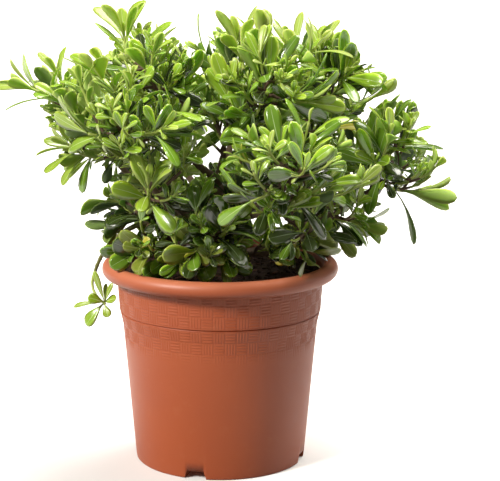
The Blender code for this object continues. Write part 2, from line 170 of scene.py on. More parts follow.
RIM_RADIUS = 0.130
POT_HEIGHT = 0.2233
ROLL_RADIUS = 0.0089
WALL = 0.0020
POT_FLOOR = 0.0028
BASE_RADIUS = 0.0940
FOOT_ROUNDING = 0.0015
BODY_TOP_RADIUS = 0.1108
BODY_TOP = 0.1684
BODY_TAPER = 0.0881
FLARE = 0.0020
FLARE_START = 0.153
BAND_FOOT_RADIUS = 0.1113
BAND_FOOT = 0.1698
BAND_CHAMFER = 0.0004
BAND_TOP_RADIUS = 0.1142
# How the band's top tucks in below the roll: inwards, and below the roll's middle.
BAND_TUCK = (0.0003, 0.004)
# The groove between body and band, from the body's top: out and up.
STEP_GROOVE = ((0, -0.0006), (-0.0012, -0.0005), (-0.0015, 0.0002), (-0.0013, 0.0009))

DRAIN_FIRST_DEG = -106.7
DRAIN_HALF = 0.0120
DRAIN_TOP_HALF = 0.0095
DRAIN_HEIGHT = 0.0090
DRAIN_INNER_REACH = 0.066
HOLE_HEIGHT = 0.005
HOUSING_SKIN = 0.0022

# The weave's ribs are three grid steps apart, one of them the groove, and four ribs make a patch.
# The real ones are finer, and these are drawn as coarse as they need to be to show.
RIB_PITCH = 0.0032
RIB_STEPS = 3
PATCH_RIBS = 4
GROOVE_DEPTH = 0.00078
PATCH_EDGE = 0.8
PATCHES_ROUND = 56
BAND_LINES = 11
BODY_LINES = 12
BAND_WEAVE_GAP = 0.0007
BODY_WEAVE_GAP = 0.0014
WEAVE_FADE_ROWS = 14

POT_COLUMNS = PATCHES_ROUND * PATCH_RIBS * RIB_STEPS
SECTOR_COLUMNS = POT_COLUMNS // 4
DRAIN_COLUMNS = 14
DRAIN_TOP_COLUMNS = 11
# Rings of the underside and of the floor inside, and the step next to an edge that keeps it sharp.
INNERMOST_RING = 0.0005
MIDDLE_RING = 0.03
INSIDE_RING = 0.080
CHANNEL_STEP = 0.002
SMALL_STEP = 0.001
SHARP_STEP = 0.0001
# Where the channels' inner ends and the two stretches of weave stand among the section's parts.
CHANNEL_PART = 1
BODY_WEAVE_PART = 5
BAND_WEAVE_PART = 8


def grid_faces(rows, columns):
    """Quads between the rows of a grid whose columns close in a ring, as an array of corners."""
    start = np.arange(rows - 1)[:, None] * columns
    near = np.arange(columns)[None, :]
    far = (near + 1) % columns
    return np.stack(
        [start + near, start + far, start + columns + far, start + columns + near], axis=-1
    ).reshape(-1, 4)


def around(radius, turn, height):
    """Points at radius times (cos, sin) of a turn, at a height."""
    places = np.broadcast_arrays(radius * np.cos(turn), radius * np.sin(turn), height)
    return np.stack(places, axis=-1)


def body_radius(height):
    """The wall's outer radius: one straight taper, which flares just below the groove, and
    another straight one in the band above it."""
    share = (height - BAND_FOOT) / (POT_HEIGHT - ROLL_RADIUS - BAND_FOOT)
    band = BAND_FOOT_RADIUS + (BAND_TOP_RADIUS - BAND_FOOT_RADIUS) * np.maximum(0, share)
    flare = FLARE * np.clip((height - FLARE_START) / (BODY_TOP - FLARE_START), 0, 1)
    return np.where(height <= BODY_TOP, BASE_RADIUS + BODY_TAPER * height + flare, band)


def arc(centre, radius, start_deg, end_deg, steps):
    """Points on a circle's arc: centre plus radius times (cos, sin) of an evenly stepped angle."""
    turn = np.radians(np.linspace(start_deg, end_deg, steps + 1))
    return np.stack([centre[0] + radius * np.cos(turn), centre[1] + radius * np.sin(turn)], axis=1)


def straight(start, end, steps):
    """Evenly spaced points from a start up to, but without, an end."""
    share = np.linspace(0, 1, steps, endpoint=False)[:, None]
    return np.asarray(start) * (1 - share) + np.asarray(end) * share


def weave_rows(top, lines):
    """Rows (radius, height) of a band of the weave, from its lowest line up to its top."""
    step = RIB_PITCH / RIB_STEPS
    heights = top - step * np.arange(lines * RIB_STEPS, -1, -1)
    return np.stack([body_radius(heights), heights], axis=1)


def groove(rows, columns):
    """How deep the weave is cut: a patch has level grooves or upright ones, in turn, one at
    every third step, and a shallower one all round it."""
    row, column = np.arange(rows)[:, None], np.arange(columns)[None, :]
    patch = PATCH_RIBS * RIB_STEPS
    level = (row // patch + column // patch) % 2 == 0
    cut = np.where(level, row % RIB_STEPS == 0, column % RIB_STEPS == 0)
    edge = (row % patch == 0) | (column % patch == 0)
    return np.maximum(cut, PATCH_EDGE * edge) * GROOVE_DEPTH


def pot_columns(radius, height, inward):
    """Each column's azimuth at a radius and height. Under the foot the columns near a channel
    run parallel to it: azimuth = asin(sideways offset / radius). Above, they even out."""
    number = np.arange(SECTOR_COLUMNS) - SECTOR_COLUMNS // 2
    near = np.abs(number) <= DRAIN_COLUMNS
    top = np.minimum(np.abs(number), DRAIN_TOP_COLUMNS) / DRAIN_TOP_COLUMNS * DRAIN_TOP_HALF
    slope = (np.abs(number) - DRAIN_TOP_COLUMNS) / (DRAIN_COLUMNS - DRAIN_TOP_COLUMNS)
    offset = top + np.clip(slope, 0, 1) * (DRAIN_HALF - DRAIN_TOP_HALF)
    reach = np.clip(radius, DRAIN_INNER_REACH - inward, BASE_RADIUS)
    inside = np.arcsin(offset / reach)
    edge = np.arcsin(DRAIN_HALF / reach)
    rest = (np.abs(number) - DRAIN_COLUMNS) / (SECTOR_COLUMNS / 2 - DRAIN_COLUMNS)
    channelled = np.where(near, inside, edge + rest * (math.pi / 4 - edge)) * np.sign(number)
    even = number * 2 * math.pi / POT_COLUMNS
    share = np.clip((height - 2 * DRAIN_HEIGHT) / (4 * DRAIN_HEIGHT), 0, 1)
    sector = channelled * (1 - share) + even * share
    starts = math.radians(DRAIN_FIRST_DEG) + np.arange(4)[:, None] * math.pi / 2
    return (starts + sector[None, :]).ravel()


def pot_section():
    """The pot's section in parts of (radius, height): those outside, from the underside's middle
    out, up and over the rim, and those inside, down the wall and in to the floor's middle."""
    roll_centre = (RIM_RADIUS - ROLL_RADIUS, POT_HEIGHT - ROLL_RADIUS)
    foot_centre = (BASE_RADIUS - FOOT_ROUNDING, FOOT_ROUNDING)
    weave = weave_rows(BODY_TOP - BODY_WEAVE_GAP, BODY_LINES)
    band = weave_rows(BAND_FOOT + BAND_WEAVE_GAP + BAND_LINES * RIB_PITCH, BAND_LINES)
    reach = DRAIN_INNER_REACH
    hole_top = POT_FLOOR + HOLE_HEIGHT
    outside = [
        [(INNERMOST_RING, 0), (MIDDLE_RING, 0), (reach - SHARP_STEP, 0)],
        [(reach, 0), (reach, POT_FLOOR), (reach, hole_top), (reach, DRAIN_HEIGHT)],
        straight((reach + CHANNEL_STEP, 0), (foot_centre[0], 0), 3),
        arc(foot_centre, FOOT_ROUNDING, -90, 0, 3),
        [(body_radius(z), z) for z in np.linspace(DRAIN_HEIGHT / 2, weave[0, 1] - SMALL_STEP, 9)],
        weave,
        [(BODY_TOP_RADIUS + r, BODY_TOP + z) for r, z in STEP_GROOVE],
        [(BAND_FOOT_RADIUS - BAND_CHAMFER, BAND_FOOT - BAND_CHAMFER), (BAND_FOOT_RADIUS, BAND_FOOT)],
        band,
        [(BAND_TOP_RADIUS - BAND_TUCK[0], roll_centre[1] - BAND_TUCK[1])],
        arc(roll_centre, ROLL_RADIUS - WALL, 180, -88, 9),
        arc(roll_centre, ROLL_RADIUS - WALL / 2, -93, -93, 0),
        arc(roll_centre, ROLL_RADIUS, -88, 180, 21),
    ]
    inner = reach - HOUSING_SKIN
    hump = DRAIN_HEIGHT + HOUSING_SKIN
    inside = [
        [(body_radius(z) - WALL, z) for z in (BAND_FOOT + WALL, BAND_FOOT)],
        [(body_radius(z) - WALL, z) for z in np.linspace(BODY_TOP, hump + SMALL_STEP, 3)],
        [(body_radius(POT_FLOOR) - WALL, POT_FLOOR), (INSIDE_RING, POT_FLOOR), (inner, hole_top)],
        [(r, POT_FLOOR) for r in (inner, inner - SHARP_STEP, MIDDLE_RING, INNERMOST_RING)],
    ]
    return [np.asarray(part, dtype=float) for part in outside + inside], len(outside)


def make_pot():
    """Every row of the section carried round by its columns. In a channel a row's height is at
    least the channel's roof, which slopes to nothing between the top's and the foot's width."""
    section, outside_parts = pot_section()
    rows = np.concatenate(section)
    parts = np.repeat(np.arange(len(section)), [len(part) for part in section])
    number = np.tile(np.abs(np.arange(SECTOR_COLUMNS) - SECTOR_COLUMNS // 2), 4)
    roof = np.clip((DRAIN_COLUMNS - number) / (DRAIN_COLUMNS - DRAIN_TOP_COLUMNS), 0, 1)
    cuts = np.zeros((len(rows), POT_COLUMNS))
    for part in (BODY_WEAVE_PART, BAND_WEAVE_PART):
        cuts[parts == part] = groove(len(section[part]), POT_COLUMNS)
    faded = np.clip(np.arange(len(section[BODY_WEAVE_PART])) / WEAVE_FADE_ROWS, 0, 1)
    cuts[parts == BODY_WEAVE_PART] *= faded[:, None]
    points = np.empty((len(rows), POT_COLUMNS, 3))
    for i, (radius, height) in enumerate(rows):
        is_inside = parts[i] >= outside_parts
        inward = HOUSING_SKIN * is_inside
        reach = DRAIN_INNER_REACH - inward
        lift = (DRAIN_HEIGHT + inward) * (radius > reach - SHARP_STEP / 2)
        if parts[i] == CHANNEL_PART or (is_inside and abs(radius - reach) < SHARP_STEP / 2):
            z = np.minimum(height, lift) * roof + POT_FLOOR * is_inside * (1 - roof)
        else:
            z = np.maximum(height, lift * roof)
        points[i] = around(radius - cuts[i], pot_columns(radius, height, inward), z)
    flat = np.vstack([points.reshape(-1, 3), [(0, 0, 0), (0, 0, POT_FLOOR)]])
    ring = np.arange(POT_COLUMNS)
    after = (ring + 1) % POT_COLUMNS
    last = (len(rows) - 1) * POT_COLUMNS
    caps = [
        np.stack([after, ring, np.full_like(ring, len(flat) - 2)], axis=1),
        np.stack([last + ring, last + after, np.full_like(ring, len(flat) - 1)], axis=1),
    ]
    return flat, grid_faces(len(rows), POT_COLUMNS).tolist() + np.concatenate(caps).tolist()


# Polypropylene with a terracotta pigment, straight from the mould: a satin skin that takes a broad
# soft sheen, slightly uneven in colour, with fine dust in patches, and a painted highlight on the rim's
# top.
PIGMENT_CLOUDS = 0.0714
DUST_PATCHES = 0.0182
MOULD_GRAIN = 0.00111
# Between these heights the rim's roll grows paler towards its top: a painted highlight, the lamps' light on
# the roll's upper side.
RIM_HIGHLIGHT_HEIGHTS = (0.2130, 0.2215)

terracotta = new_finish("moulded_terracotta_polypropylene")
spot = node(terracotta, "TexCoord").outputs["Object"]
height = node(terracotta, "SeparateXYZ", Vector=spot).outputs["Z"]
clouds = node(terracotta, "TexNoise", Vector=spot, Scale=1 / PIGMENT_CLOUDS, Detail=3)
dust = node(terracotta, "TexNoise", Vector=spot, Scale=1 / DUST_PATCHES, Detail=5, Roughness=0.6)
grain = node(terracotta, "TexNoise", Vector=spot, Scale=1 / MOULD_GRAIN, Detail=2)
dusted = node(terracotta, "MapRange", Value=dust, From_Min=0.56, From_Max=0.8, To_Max=0.16)
# The rim's painted highlight: a mask that rises towards the top of the roll.
faded = node(
    terracotta, "MapRange", Value=height, From_Min=RIM_HIGHLIGHT_HEIGHTS[0], From_Max=RIM_HIGHLIGHT_HEIGHTS[1], To_Max=0.5
)
paint = node(terracotta, "MixRGB", Fac=clouds, Color1=linear("#9D4722"), Color2=linear("#AA5127"))
paint = node(terracotta, "MixRGB", Fac=dusted, Color1=paint, Color2=linear("#B57552"))
# Painted highlight: the rim's top is mixed towards a pale pink.
paint = node(terracotta, "MixRGB", Fac=faded, Color1=paint, Color2=linear("#E6916E"))
sheen = node(terracotta, "MapRange", Value=dust, To_Min=0.40, To_Max=0.52)
bump = node(terracotta, "Bump", Height=grain, Strength=0.06, Distance=0.0005)
shade(terracotta, Base_Color=paint, Roughness=sheen, Normal=bump, IOR=1.49)

pot = add_piece("pot_shell", *make_pot(), [terracotta])
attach(pot, "root")
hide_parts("pot")

# The compost
# Fine peat-based potting compost, filled to a finger's width below the rim and settled into a
# crumbly, slightly uneven top with bits of fibre and composted bark on it.

COMPOST_TOP = 0.2080
COMPOST_RINGS = 70
COMPOST_COLUMNS = 190
COMPOST_GAP = 0.0004
COMPOST_SKIRT = 0.006
INNERMOST_SHARE = 0.01
LATTICE_CELLS = 32
# What lies on it: how many, their sizes, the draw's seed, how long for their breadth, how far out.
CRUMBS = (900, (0.0009, 0.0030), 11, 1.2, 0.106)
BARK_CHIPS = (90, (0.0016, 0.0030), 12, 3.2, 0.104)
# A lump's rings, as angles from its top, how many corners each has and its height for its breadth.
LUMP_RINGS = (0.6, 1.3, 1.9, 2.6)
LUMP_SIDES = 5
LUMP_HEIGHT = 0.7


def lattice_noise(points, size, seed):
    """Value noise from -1 to 1: random numbers on a cubic lattice of this size, with the cell's
    eight mixed by smooth steps of the point's place in it."""
    table = np.random.default_rng(seed).uniform(-1, 1, (LATTICE_CELLS,) * 3)
    cell = np.floor(points / size).astype(int)
    share = points / size - cell
    share = share * share * (3 - 2 * share)
    total = 0
    for step in itertools.product((0, 1), repeat=3):
        corner = (cell + step) % LATTICE_CELLS
        weight = np.prod(np.abs(1 - np.array(step) - share), axis=-1)
        total = total + weight * table[corner[..., 0], corner[..., 1], corner[..., 2]]
    return total


def compost_height(x, y):
    """The top's height: a slow roll, lumps of a centimetre and grains of three millimetres."""
    flat = np.stack([x, y, np.zeros_like(x)], axis=-1)
    rise = 0.0022 * lattice_noise(flat, 0.034, 3) + 0.0014 * lattice_noise(flat, 0.011, 4)
    return COMPOST_TOP + 0.0016 + rise + 0.0009 * lattice_noise(flat, 0.0032, 5)


def make_compost_top():
    """A disc of rings, lifted by compost_height, with a skirt that runs down its edge."""
    edge = body_radius(np.array(COMPOST_TOP)) - WALL - COMPOST_GAP
    radius = edge * np.linspace(INNERMOST_SHARE, 1, COMPOST_RINGS)
    turn = np.linspace(0, 2 * math.pi, COMPOST_COLUMNS, endpoint=False)
    top = around(radius[:, None], turn, 0)
    top[..., 2] = compost_height(top[..., 0], top[..., 1])
    skirt = top[-1:].copy()
    skirt[..., 2] = COMPOST_TOP - COMPOST_SKIRT
    under = skirt * (INNERMOST_SHARE, INNERMOST_SHARE, 1)
    points = np.concatenate([under, skirt, top[::-1]]).reshape(-1, 3)
    rows = COMPOST_RINGS + 2
    ring = np.arange(COMPOST_COLUMNS)
    ends = [ring[::-1].tolist(), ((rows - 1) * COMPOST_COLUMNS + ring).tolist()]
    return points, grid_faces(rows, COMPOST_COLUMNS).tolist() + ends


def scatter_lumps(count, sizes, seed, stretch, far):
    """Copies of a rough lump, turned and scaled at random, laid on the compost. A lump is rings
    of a ball, radius times (sin, cos), each corner moved a little."""
    dice = np.random.default_rng(seed)
    polar = np.array(LUMP_RINGS)[:, None]
    turn = np.arange(LUMP_SIDES) * 2 * math.pi / LUMP_SIDES
    shape = around(np.sin(polar), turn, np.cos(polar)).reshape(-1, 3)
    angle = dice.uniform(0, 2 * math.pi, count)
    away = far * np.sqrt(dice.uniform(0.012, 1, count))
    x, y = away * np.cos(angle), away * np.sin(angle)
    size = dice.uniform(*sizes, count) * dice.uniform(0.5, 1, count)
    body = shape[None] * (1 + dice.uniform(-0.3, 0.3, (count, len(shape), 1)))
    body = body * size[:, None, None] * (stretch, 1, LUMP_HEIGHT)
    spin = dice.uniform(0, 2 * math.pi, count)[:, None]
    right = body[..., 0] * np.cos(spin) - body[..., 1] * np.sin(spin) + x[:, None]
    back = body[..., 0] * np.sin(spin) + body[..., 1] * np.cos(spin) + y[:, None]
    up = body[..., 2] + (compost_height(x, y) + size * 0.15)[:, None]
    points = np.stack([right, back, up], axis=-1).reshape(-1, 3)
    start = (np.arange(count) * len(shape))[:, None]
    quads = (grid_faces(len(LUMP_RINGS), LUMP_SIDES)[None] + start[..., None]).reshape(-1, 4)
    first, last = np.arange(LUMP_SIDES)[::-1], np.arange(len(shape) - LUMP_SIDES, len(shape))
    return points, quads.tolist() + (first + start).tolist() + (last + start).tolist()


# Damp peat: matt and nearly black, with paler dry crumbs, all rough enough to kill any shine.
PEAT_CRUMBLE = 0.00238

peat = new_finish("damp_peat_compost")
spot = node(peat, "TexCoord").outputs["Object"]
crumble = node(peat, "TexNoise", Vector=spot, Scale=1 / PEAT_CRUMBLE, Detail=4)
tone = node(peat, "MixRGB", Fac=crumble, Color1=linear("#24130D"), Color2=linear("#49301F"))
bump = node(peat, "Bump", Height=crumble, Strength=0.6, Distance=0.001)
shade(peat, Base_Color=tone, Roughness=0.93, Normal=bump)
dry_crumb = shade(new_finish("dry_peat_crumb"), Base_Color=linear("#3A271B"), Roughness=0.95)
bark_chip = shade(new_finish("composted_bark_chip"), Base_Color=linear("#5B3B26"), Roughness=0.9)

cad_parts["compost"].data.materials.clear()
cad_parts["compost"].data.materials.append(peat)
compost_top = add_piece("compost_top", *make_compost_top(), [peat])
crumbs = add_piece("compost_crumbs", *scatter_lumps(*CRUMBS), [dry_crumb])
chips = add_piece("compost_bark_chips", *scatter_lumps(*BARK_CHIPS), [bark_chip])
for piece in (compost_top, crumbs, chips):
    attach(piece, "root")

# The trunk and boughs
# Short grey-brown wood, fissured lengthwise, with raised rings where old leaf whorls have dropped.
# Each bough grows out of the trunk from a swollen collar and tapers to where its foliage starts.

SEAT_GAP = 0.0003
TRUNK_FOOT = Vector((-0.008, 0.004, COMPOST_TOP + SEAT_GAP))
TRUNK_TOP = Vector((0.004, 0.000, 0.338))
TRUNK_BOW = Vector((-0.004, 0.003, 0))
TRUNK_FOOT_RADIUS = 0.0105
TRUNK_TOP_RADIUS = 0.0042
ROOT_FLARE = 0.0055
ROOT_FLARE_HEIGHT = 0.006
# How far the bark's relief may go down into the compost, and up past the trunk's top.
BARK_SINKS = 0.002
BARK_RISES = 0.0004
BOUGH_FOOT_RADIUS = 0.0040
BOUGH_TIP_RADIUS = 0.0029
BOUGH_RISE = 0.40
COLLAR = 0.0022
COLLAR_SHARE = 0.07
# How far apart the rings of scars are, and how deep the bark's relief goes.
TRUNK_RELIEF = (0.017, 0.0007)
BOUGH_RELIEF = (0.0095, 0.0004)
UP = Vector((0, 0, 1))
GOLDEN_TURN = math.radians(137.508)

# A ring of masses: name, count, first azimuth, out, height, tilt, reach, foot and climb.
RINGS = (
    ("low", 6, 24, 0.108, 0.280, 0.006, 0.068, 0.2165, 0.0026),
    ("middle", 6, -6, 0.158, 0.354, 0.030, 0.092, 0.2360, 0.0054),
    ("upper", 5, 6, 0.096, 0.417, 0.004, 0.082, 0.2750, 0.0105),
)
WIDEN = 1.07
RIGHT_REACH = 0.014
FRONT_PULL_IN = 0.036
FRONT_DROP = 0.018
# How far before and beyond a mass's centre its stem runs, as shares of the mass's reach.
STEM_BACK = 0.56
STEM_ON = 0.22
TOP_CENTRE = Vector((0.022, 0.004, 0.408))
TOP_REACH = 0.068
# The sprig hangs outside the pot and turns its end to the light, forwards.
SPRIG_CENTRE = Vector((-0.147, 0.042, 0.184))
SPRIG_REACH = 0.032
SPRIG_FOOT = 0.2370
SPRIG_AXIS = Vector((-0.35, 0.10, -1)).normalized()
SPRIG_ARCH = 0.028
SPRIG_STRAIGHT = 0.026
SPRIG_END = Vector((-0.1285, 0.014, 0.1690))
# Its wood thins out to this share of the usual.
SPRIG_SLIM = 0.7


def trunk_point(height):
    """The trunk's axis at a height: the line from foot to top, plus a bow times sin(pi share)."""
    share = (height - TRUNK_FOOT.z) / (TRUNK_TOP.z - TRUNK_FOOT.z)
    return TRUNK_FOOT.lerp(TRUNK_TOP, share) + TRUNK_BOW * math.sin(math.pi * share)


def trunk_radius(height):
    """A straight taper plus a root flare that fades as exp(-height / flare height)."""
    above = height - TRUNK_FOOT.z
    share = above / (TRUNK_TOP.z - TRUNK_FOOT.z)
    flare = ROOT_FLARE * np.exp(-above / ROOT_FLARE_HEIGHT)
    return TRUNK_FOOT_RADIUS + (TRUNK_TOP_RADIUS - TRUNK_FOOT_RADIUS) * share + flare


def bezier(controls, count):
    """Points at even shares of a Bezier curve, by repeated mixing of its control points."""
    points = []
    for i in range(count):
        mixed = list(controls)
        while len(mixed) > 1:
            mixed = [a.lerp(b, i / (count - 1)) for a, b in zip(mixed, mixed[1:])]
        points.append(mixed[0])
    return points


class Mass:
    """One mass of foliage, by the rule of the solids: its centre, its reach, its bough, which the
    one on the trunk's own top lacks, and the stem that grows on from there."""

    def __init__(self, name, centre, reach, foot_height=None, axis=None, arch=0.0):
        self.name, self.centre, self.reach = name, centre, reach
        if foot_height is None:
            self.axis = (centre - TRUNK_TOP).normalized()
            foot = TRUNK_TOP + UP * SEAT_GAP
            end = centre + self.axis * reach * STEM_ON
            self.bough = None
            self.stem = [foot, foot + UP * (end.z - foot.z) * 0.3, end]
            return
        foot = trunk_point(foot_height)
        self.axis = axis or ((centre - foot).normalized() + UP * BOUGH_RISE).normalized()
        tip = centre - self.axis * reach * STEM_BACK
        away = Vector((centre.x - foot.x, centre.y - foot.y, 0)).normalized()
        span = (tip - foot).length
        leave = foot + (away + UP * BOUGH_RISE).normalized() * span * 0.4 + UP * arch
        enter = tip - self.axis * span * 0.34 + UP * arch * 0.3
        self.bough = [foot, leave, enter, tip]
        ends = bezier(self.bough, 7)[-2:]
        heading = (ends[1] - ends[0]).normalized()
        start = tip + heading * SEAT_GAP
        end = tip + heading * reach * (STEM_BACK + STEM_ON)
        self.stem = [start.lerp(end, s) for s in (0, 0.5, 1)]
        if name == "sprig":
            self.stem = bezier([start, start + heading * SPRIG_STRAIGHT, SPRIG_END], 7)


def crown_masses():
    """Every mass, from the lowest ring to the top, and the sprig last."""
    masses = []
    for ring, count, first, out, height, tilt, reach, foot, climb in RINGS:
        for i in range(count):
            azimuth = math.radians(first + 360 * i / count)
            right, back = math.cos(azimuth), math.sin(azimuth)
            away, level = out + RIGHT_REACH * right, height - tilt * right
            if ring == "low" and back < 0:
                away += FRONT_PULL_IN * back
                level += FRONT_DROP * back
            centre = Vector((away * right * WIDEN, away * back, level))
            foot_height = foot + climb * (i // 2 + (i % 2) * count / 2)
            masses.append(Mass(f"{ring}_{i + 1}", centre, reach, foot_height))
    masses.append(Mass("top", TOP_CENTRE, TOP_REACH))
    masses.append(Mass("sprig", SPRIG_CENTRE, SPRIG_REACH, SPRIG_FOOT, SPRIG_AXIS, SPRIG_ARCH))
    return masses


def side_frame(axis):
    """Two unit vectors square to the axis and to each other."""
    helper = Vector((1, 0, 0)) if abs(axis.z) > 0.9 else UP
    first = axis.cross(helper).normalized()
    return first, axis.cross(first).normalized()


def leaning(ahead, turn, lean):
    """The direction that leans off another by an angle, to the side that is at a turn round it."""
    first, second = side_frame(ahead)
    side = first * math.cos(turn) + second * math.sin(turn)
    return ahead * math.cos(lean) + side * math.sin(lean)


def tube(route, radius, sides, relief=None):
    """A skin carried along a route: at each of its points, a ring of corners at radius times
    (cos, sin) in the plane square to the route, its frame carried on without twist. relief adds
    to the radius, by the corner's place and its distance along."""
    centres = np.array(route, dtype=float)
    count = len(centres)
    ahead = np.gradient(centres, axis=0)
    ahead /= np.linalg.norm(ahead, axis=1, keepdims=True)
    first = np.empty_like(centres)
    side = np.array(side_frame(Vector(ahead[0]))[0])
    for i in range(count):
        side = side - ahead[i] * side.dot(ahead[i])
        side /= np.linalg.norm(side)
        first[i] = side
    second = np.cross(ahead, first)
    turn = np.arange(sides) * 2 * math.pi / sides
    ring = first[:, None] * np.cos(turn)[:, None] + second[:, None] * np.sin(turn)[:, None]
    radii = np.broadcast_to(np.asarray(radius, dtype=float), (count,))[:, None]
    if relief is not None:
        steps = np.linalg.norm(np.diff(centres, axis=0), axis=1)
        along = np.concatenate([[0], np.cumsum(steps)])[:, None]
        radii = radii + relief(centres[:, None] + ring * radii[..., None], along)
    points = (centres[:, None] + ring * radii[..., None]).reshape(-1, 3)
    faces = grid_faces(count, sides).tolist()
    faces.append(list(range(sides))[::-1])
    faces.append([(count - 1) * sides + k for k in range(sides)])
    return points, faces


def join(parts):
    """One list of points and faces from several."""
    points, faces, start = [], [], 0
    for corners, sides in parts:
        points.append(corners)
        faces += [[i + start for i in face] for face in sides]
        start += len(corners)
    return np.concatenate(points), faces


def bark_relief(scar_pitch, depth):
    """Fissures drawn out along the wood, and a low ring each scar pitch: noise of the place
    squeezed along the limb, plus a narrow bell of the distance to the next ring."""

    def relief(places, along):
        squeezed = places * (1, 1, 0.22)
        fissures = lattice_noise(squeezed, 0.0016, 21) * 0.6 + lattice_noise(places, 0.0045, 22)
        from_ring = (along + 0.002 * lattice_noise(places, 0.02, 23)) % scar_pitch - scar_pitch / 2
        ring = np.exp(-((from_ring / 0.0011) ** 2))
        return depth * (0.55 * fissures + 0.8 * ring)

    return relief


def make_trunk():
    """The trunk's bark, in rows that lie closest together near its foot, where it flares."""
    heights = TRUNK_FOOT.z + (TRUNK_TOP.z - TRUNK_FOOT.z) * np.linspace(0, 1, 120) ** 1.3
    route = [trunk_point(z) for z in heights]
    points, faces = tube(route, trunk_radius(heights), 36, bark_relief(*TRUNK_RELIEF))
    points[:, 2] = np.clip(points[:, 2], TRUNK_FOOT.z - BARK_SINKS, TRUNK_TOP.z + BARK_RISES)
    return points, faces


def make_bough(mass):
    """A tapering limb with a collar where it leaves the trunk, which fades as exp(-share)."""
    route = bezier(mass.bough, 110)
    share = np.linspace(0, 1, 110)
    radius = BOUGH_FOOT_RADIUS + (BOUGH_TIP_RADIUS - BOUGH_FOOT_RADIUS) * share
    if mass.name == "sprig":
        radius = radius * (1 - (1 - SPRIG_SLIM) * share)
    return tube(route, radius + COLLAR * np.exp(-share / COLLAR_SHARE), 18, bark_relief(*BOUGH_RELIEF))


# Pittosporum bark: thin, dry and grey-brown, lighter on its ridges, with no shine at all.
BARK_FLECKS = 0.00192
BARK_PATCHES = 0.0167

bark = new_finish("grey_brown_bark")
spot = node(bark, "TexCoord").outputs["Object"]
squeeze = node(bark, "Mapping", Vector=spot, Scale=(1, 1, 0.3))
flecks = node(bark, "TexNoise", Vector=squeeze, Scale=1 / BARK_FLECKS, Detail=4)
patches = node(bark, "TexNoise", Vector=spot, Scale=1 / BARK_PATCHES, Detail=2)
tone = node(bark, "MixRGB", Fac=patches, Color1=linear("#3B2C22"), Color2=linear("#6B5643"))
tone = node(bark, "MixRGB", Fac=flecks, Color1=tone, Color2=linear("#86725C"))
bump = node(bark, "Bump", Height=flecks, Strength=0.5, Distance=0.0006)
shade(bark, Base_Color=tone, Roughness=0.85, Normal=bump)

masses = crown_masses()
trunk = add_piece("trunk_bark", *make_trunk(), [bark])
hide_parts("trunk")
older = [m for m in masses if m.bough and m.name != "sprig"]
boughs = add_piece("bough_bark", *join([make_bough(m) for m in older]), [bark])
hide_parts(*["bough_" + m.name for m in older])

# The sprig's bough is only a year old: its bark is still thin, olive green and a little waxy.
young_bark = shade(new_finish("olive_young_bark"), Base_Color=linear("#6A6B35"), Roughness=0.55, IOR=1.40)
sprig_bough = add_piece("sprig_bark", *make_bough(masses[-1]), [young_bark])
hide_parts("bough_sprig")
for piece in (trunk, boughs, sprig_bough):
    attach(piece, "root")

# How the twigs grow
# Each mass has a stem that grows on from its bough, shoots whose ends spread over the mass's
# outer side, and finer side twigs that fill its room, with short leafy spurs on them.

LEAF_LENGTH = 0.055
SHOOTS = 8
SHOOT_SPREAD_DEG = 128
SHOOT_RISE = 0.45
SHOOT_VARIES = (0.80, 1.18)
SHOOT_SPARE = -0.012
SHORT_OF_REACH = 0.66
CELL_GAP = 0.0004
LIMB_GAP = 0.0012
LEAF_CLEARANCE = 0.004
# Between which heights the trunk carries the top mass's twigs.
TRUNK_BEARS = (0.270, 0.336)

# For a kind of twig: its radius at the foot and the tip.
TWIG_RADII = {
    "stem": (0.0028, 0.0019),
    "shoot": (0.0020, 0.0015),
    "twig": (0.0017, 0.0012),
    "spur": (0.0011, 0.0008),
}
# A kind that grows on others: tries on each, lean in degrees, length, room round its tip, and
# between which shares of the other's length it grows.
SIDE_RULES = {
    "twig": (34, (28, 62), (0.024, 0.066), (0.016, 0.022), (0.28, 0.92)),
    "spur": (2, (45, 75), (0.008, 0.014), (0.013, 0.017), (0.15, 0.75)),
}
TWIG_RISE = 0.95
TIP_SPACING_OUTSIDE = 0.018
TIP_SHORT_OF_REACH = (0.28, 1.05)
TIP_BELOW_LIMIT = UP * 0.012
VALLEY_REACH = 0.010
INNER_REACH = 0.075
LEADING_SHARE = 0.25
LEADS_BY = 0.008
LAGS_BY = 0.048
FINE_SHARE = 0.32
FINE_SIZE = (0.42, 0.66)
STRONG_SIZE = (0.84, 1.26)

# The plant's heart, and how far the crown's skin is from it to the side, to the back and up.
HEART = Vector((0.01, 0.0, 0.30))
CROWN_HALF = (0.24, 0.22, 0.18)
# The crown's lowest and highest points, and how far from the middle each limit stays level.
CROWN_FOOT = 0.226
CROWN_TOP = 0.503
FOOT_LEVEL = 0.130
TOP_LEVEL = 0.108
# The step on the left: where it starts, its width and its depth, and where the shoulder ends.
SHOULDER_STEP = (0.112, 0.012, 0.040)
SHOULDER_LEVEL = 0.165
# The dip in the top: where it is, its half width and its depth.
DIP = (-0.020, 0.022, 0.012)

# A twig's number in its mass. The stem is 0, its shoots are 1 to 7, and the limb that carries the
# mass is 50. What grows on a twig has that one's number times 100, plus its own, from 1 up, and a
# spur has 1,000 more.
BOUGH_NUMBER = 50
SIDE_NUMBERS = 100
SPUR_NUMBERS = 1000

